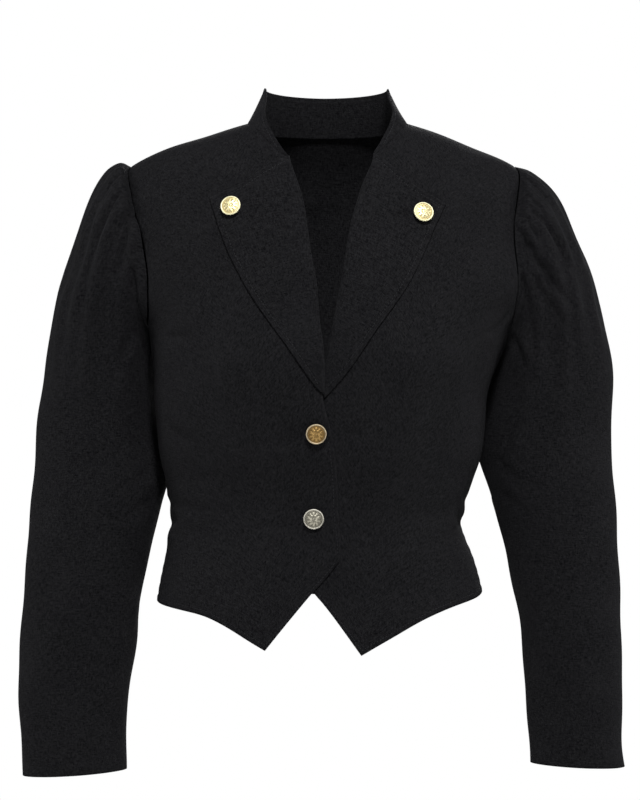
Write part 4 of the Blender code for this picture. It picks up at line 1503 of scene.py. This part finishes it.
@dataclass
class Studio:
    """The pale floor, the soft lights and the camera at the photograph's place."""

    camera_place: tuple = (-0.002, -2.4, -0.276)
    lens: float = 108.0
    sensor: float = 36.0
    floor_height: float = -1.05
    floor_radius: float = 2.0
    floor_colour: tuple = (0.86, 0.86, 0.85, 1.0)
    sky_light: float = 0.09  # how strongly the white surroundings light the scene
    lamps: tuple = (
        ("front", (0.2, -1.6, 1.25), (0, 0, -0.2), 0.35, 54),
        ("low", (-0.5, -2.4, -0.1), (0, 0, -0.3), 0.8, 5),
        ("behind", (0.4, 2.6, 0.9), (0, 0, -0.3), 1.6, 60),
        ("wearers_right", (-2.6, -0.1, 0.5), (0, 0, -0.3), 1.2, 38),
        ("wearers_left", (2.6, -0.1, 0.5), (0, 0, -0.3), 1.2, 38),
    )

    def build(self) -> None:
        """Set up the camera, the floor and the lights."""
        self.camera()
        self.floor()
        for lamp in self.lamps:
            self.light(*lamp)
        self.sky()

    def camera(self) -> None:
        """Set the camera level, in front of the jacket."""
        data = bpy.data.cameras.new("camera")
        data.lens = self.lens
        data.sensor_width = self.sensor
        camera = bpy.data.objects.new("camera", data)
        camera.location = self.camera_place
        camera.rotation_euler = (math.radians(90), 0, 0)
        bpy.context.scene.collection.objects.link(camera)
        bpy.context.scene.camera = camera

    def floor(self) -> None:
        """Lay a round pale floor."""
        shape = bmesh.new()
        place = Matrix.Translation((0, 0, self.floor_height))
        bmesh.ops.create_circle(shape, cap_ends=True, radius=self.floor_radius, segments=96, matrix=place)
        mesh = bpy.data.meshes.new("floor")
        shape.to_mesh(mesh)
        shape.free()
        paint = Finish("floor")
        paint.plug(paint.shader, {"Base Color": self.floor_colour, "Roughness": 0.9})
        mesh.materials.append(paint.material)
        floor = bpy.data.objects.new("floor", mesh)
        bpy.context.scene.collection.objects.link(floor)

    def light(self, name: str, place: tuple, target: tuple, size: float, power: float) -> None:
        """Hang a soft square light."""
        data = bpy.data.lights.new(name, "AREA")
        data.size = size
        data.energy = power
        lamp = bpy.data.objects.new(name, data)
        lamp.location = place
        lamp.rotation_euler = (Vector(target) - Vector(place)).to_track_quat("-Z", "Y").to_euler()
        bpy.context.scene.collection.objects.link(lamp)

    def sky(self) -> None:
        """Surround the scene with white, which lights it less than it shows."""
        world = bpy.data.worlds.new("white")
        bpy.context.scene.world = world
        world.use_nodes = True
        tree = world.node_tree
        back = tree.nodes["Background"]
        back.inputs["Color"].default_value = (1, 1, 1, 1)
        path = tree.nodes.new("ShaderNodeLightPath")
        strength = tree.nodes.new("ShaderNodeMapRange")
        strength.inputs["To Min"].default_value = self.sky_light
        strength.inputs["To Max"].default_value = 1.0
        tree.links.new(path.outputs["Is Camera Ray"], strength.inputs["Value"])
        tree.links.new(strength.outputs["Result"], back.inputs["Strength"])
        bpy.context.scene.view_settings.view_transform = "Standard"


def main() -> None:
    """Dress the jacket piece by piece, and report each one."""
    logging.basicConfig(level=logging.INFO, format="%(message)s")
    Studio().build()
    form = BodyForm()
    fronts = Fronts(form)
    tailor = Tailor(WoolFinish("wool"), ThreadFinish("thread"))
    metals = {
        metal: MetalFinish(metal.value, bright, deep, rim, rough)
        for metal, bright, deep, rim, rough in (
            # the deep colours are the painted shade and patina of the hollows
            (Metal.PALE_GOLD, (0.80, 0.72, 0.42, 1), (0.42, 0.33, 0.15, 1), (0.84, 0.80, 0.56, 1), 0.46),
            (Metal.ANTIQUE_GOLD, (0.36, 0.23, 0.085, 1), (0.12, 0.07, 0.025, 1), (0.46, 0.38, 0.26, 1), 0.42),
            (Metal.ANTIQUE_SILVER, (0.4, 0.38, 0.31, 1), (0.07, 0.066, 0.055, 1), (0.52, 0.5, 0.44, 1), 0.42),
        )
    }

    over, under = fronts.sheets()
    back = Back(form).sheet()
    lapel_right, lapel_left = Lapels(form, fronts).sheets()
    collar = Collar(form, fronts).sheet()
    sleeve_right, sleeve_left = Sleeves(form).sheets()

    Folds([over, under, back]).press(BODY_CREASES)
    Folds([sleeve_right]).press(RIGHT_SLEEVE_CREASES)
    Folds([sleeve_left]).press(LEFT_SLEEVE_CREASES)
    drift = Drift()
    for sheet in (over, under, back, lapel_right, lapel_left):
        sheet.rise += drift.at(sheet.grid, BODY_DRIFT)
    for sheet in (sleeve_right, sleeve_left):
        free = ease(sheet.distance(Edge.TOP), *HEAD_HELD)
        sheet.rise += drift.at(sheet.grid, SLEEVE_DRIFT) * free
    for sheet in (over, under, back, lapel_right, lapel_left, collar, sleeve_right, sleeve_left):
        sheet.apply_rise()
        tailor.piece(sheet)
    tailor.edge_stitches("stitches_fronts", ((over, Edge.BOTTOM), (under, Edge.BOTTOM)))
    tailor.edge_stitches("stitches_closing", ((over, Edge.FIRST),), CLOSING_STITCHED)
    tailor.edge_stitches("stitches_back", ((back, Edge.BOTTOM),))
    tailor.edge_stitches("stitches_lapel_right", ((lapel_right, Edge.FIRST), (lapel_right, Edge.TOP)))
    tailor.edge_stitches("stitches_lapel_left", ((lapel_left, Edge.FIRST), (lapel_left, Edge.TOP)))
    tailor.edge_stitches("stitches_collar", ((collar, Edge.TOP),))
    for button in (
        Button("button_lapel_right", -86.5, -91.3, 1, Metal.PALE_GOLD),
        Button("button_lapel_left", 96, -97.3, 1, Metal.PALE_GOLD),
        Button("button_upper", -5.5, -307, 0, Metal.ANTIQUE_GOLD, over_closing=True),
        Button("button_lower", -8, -389, 0, Metal.ANTIQUE_SILVER, over_closing=True),
    ):
        button.make(form, tailor, metals)


if __name__ == "__main__":
    main()
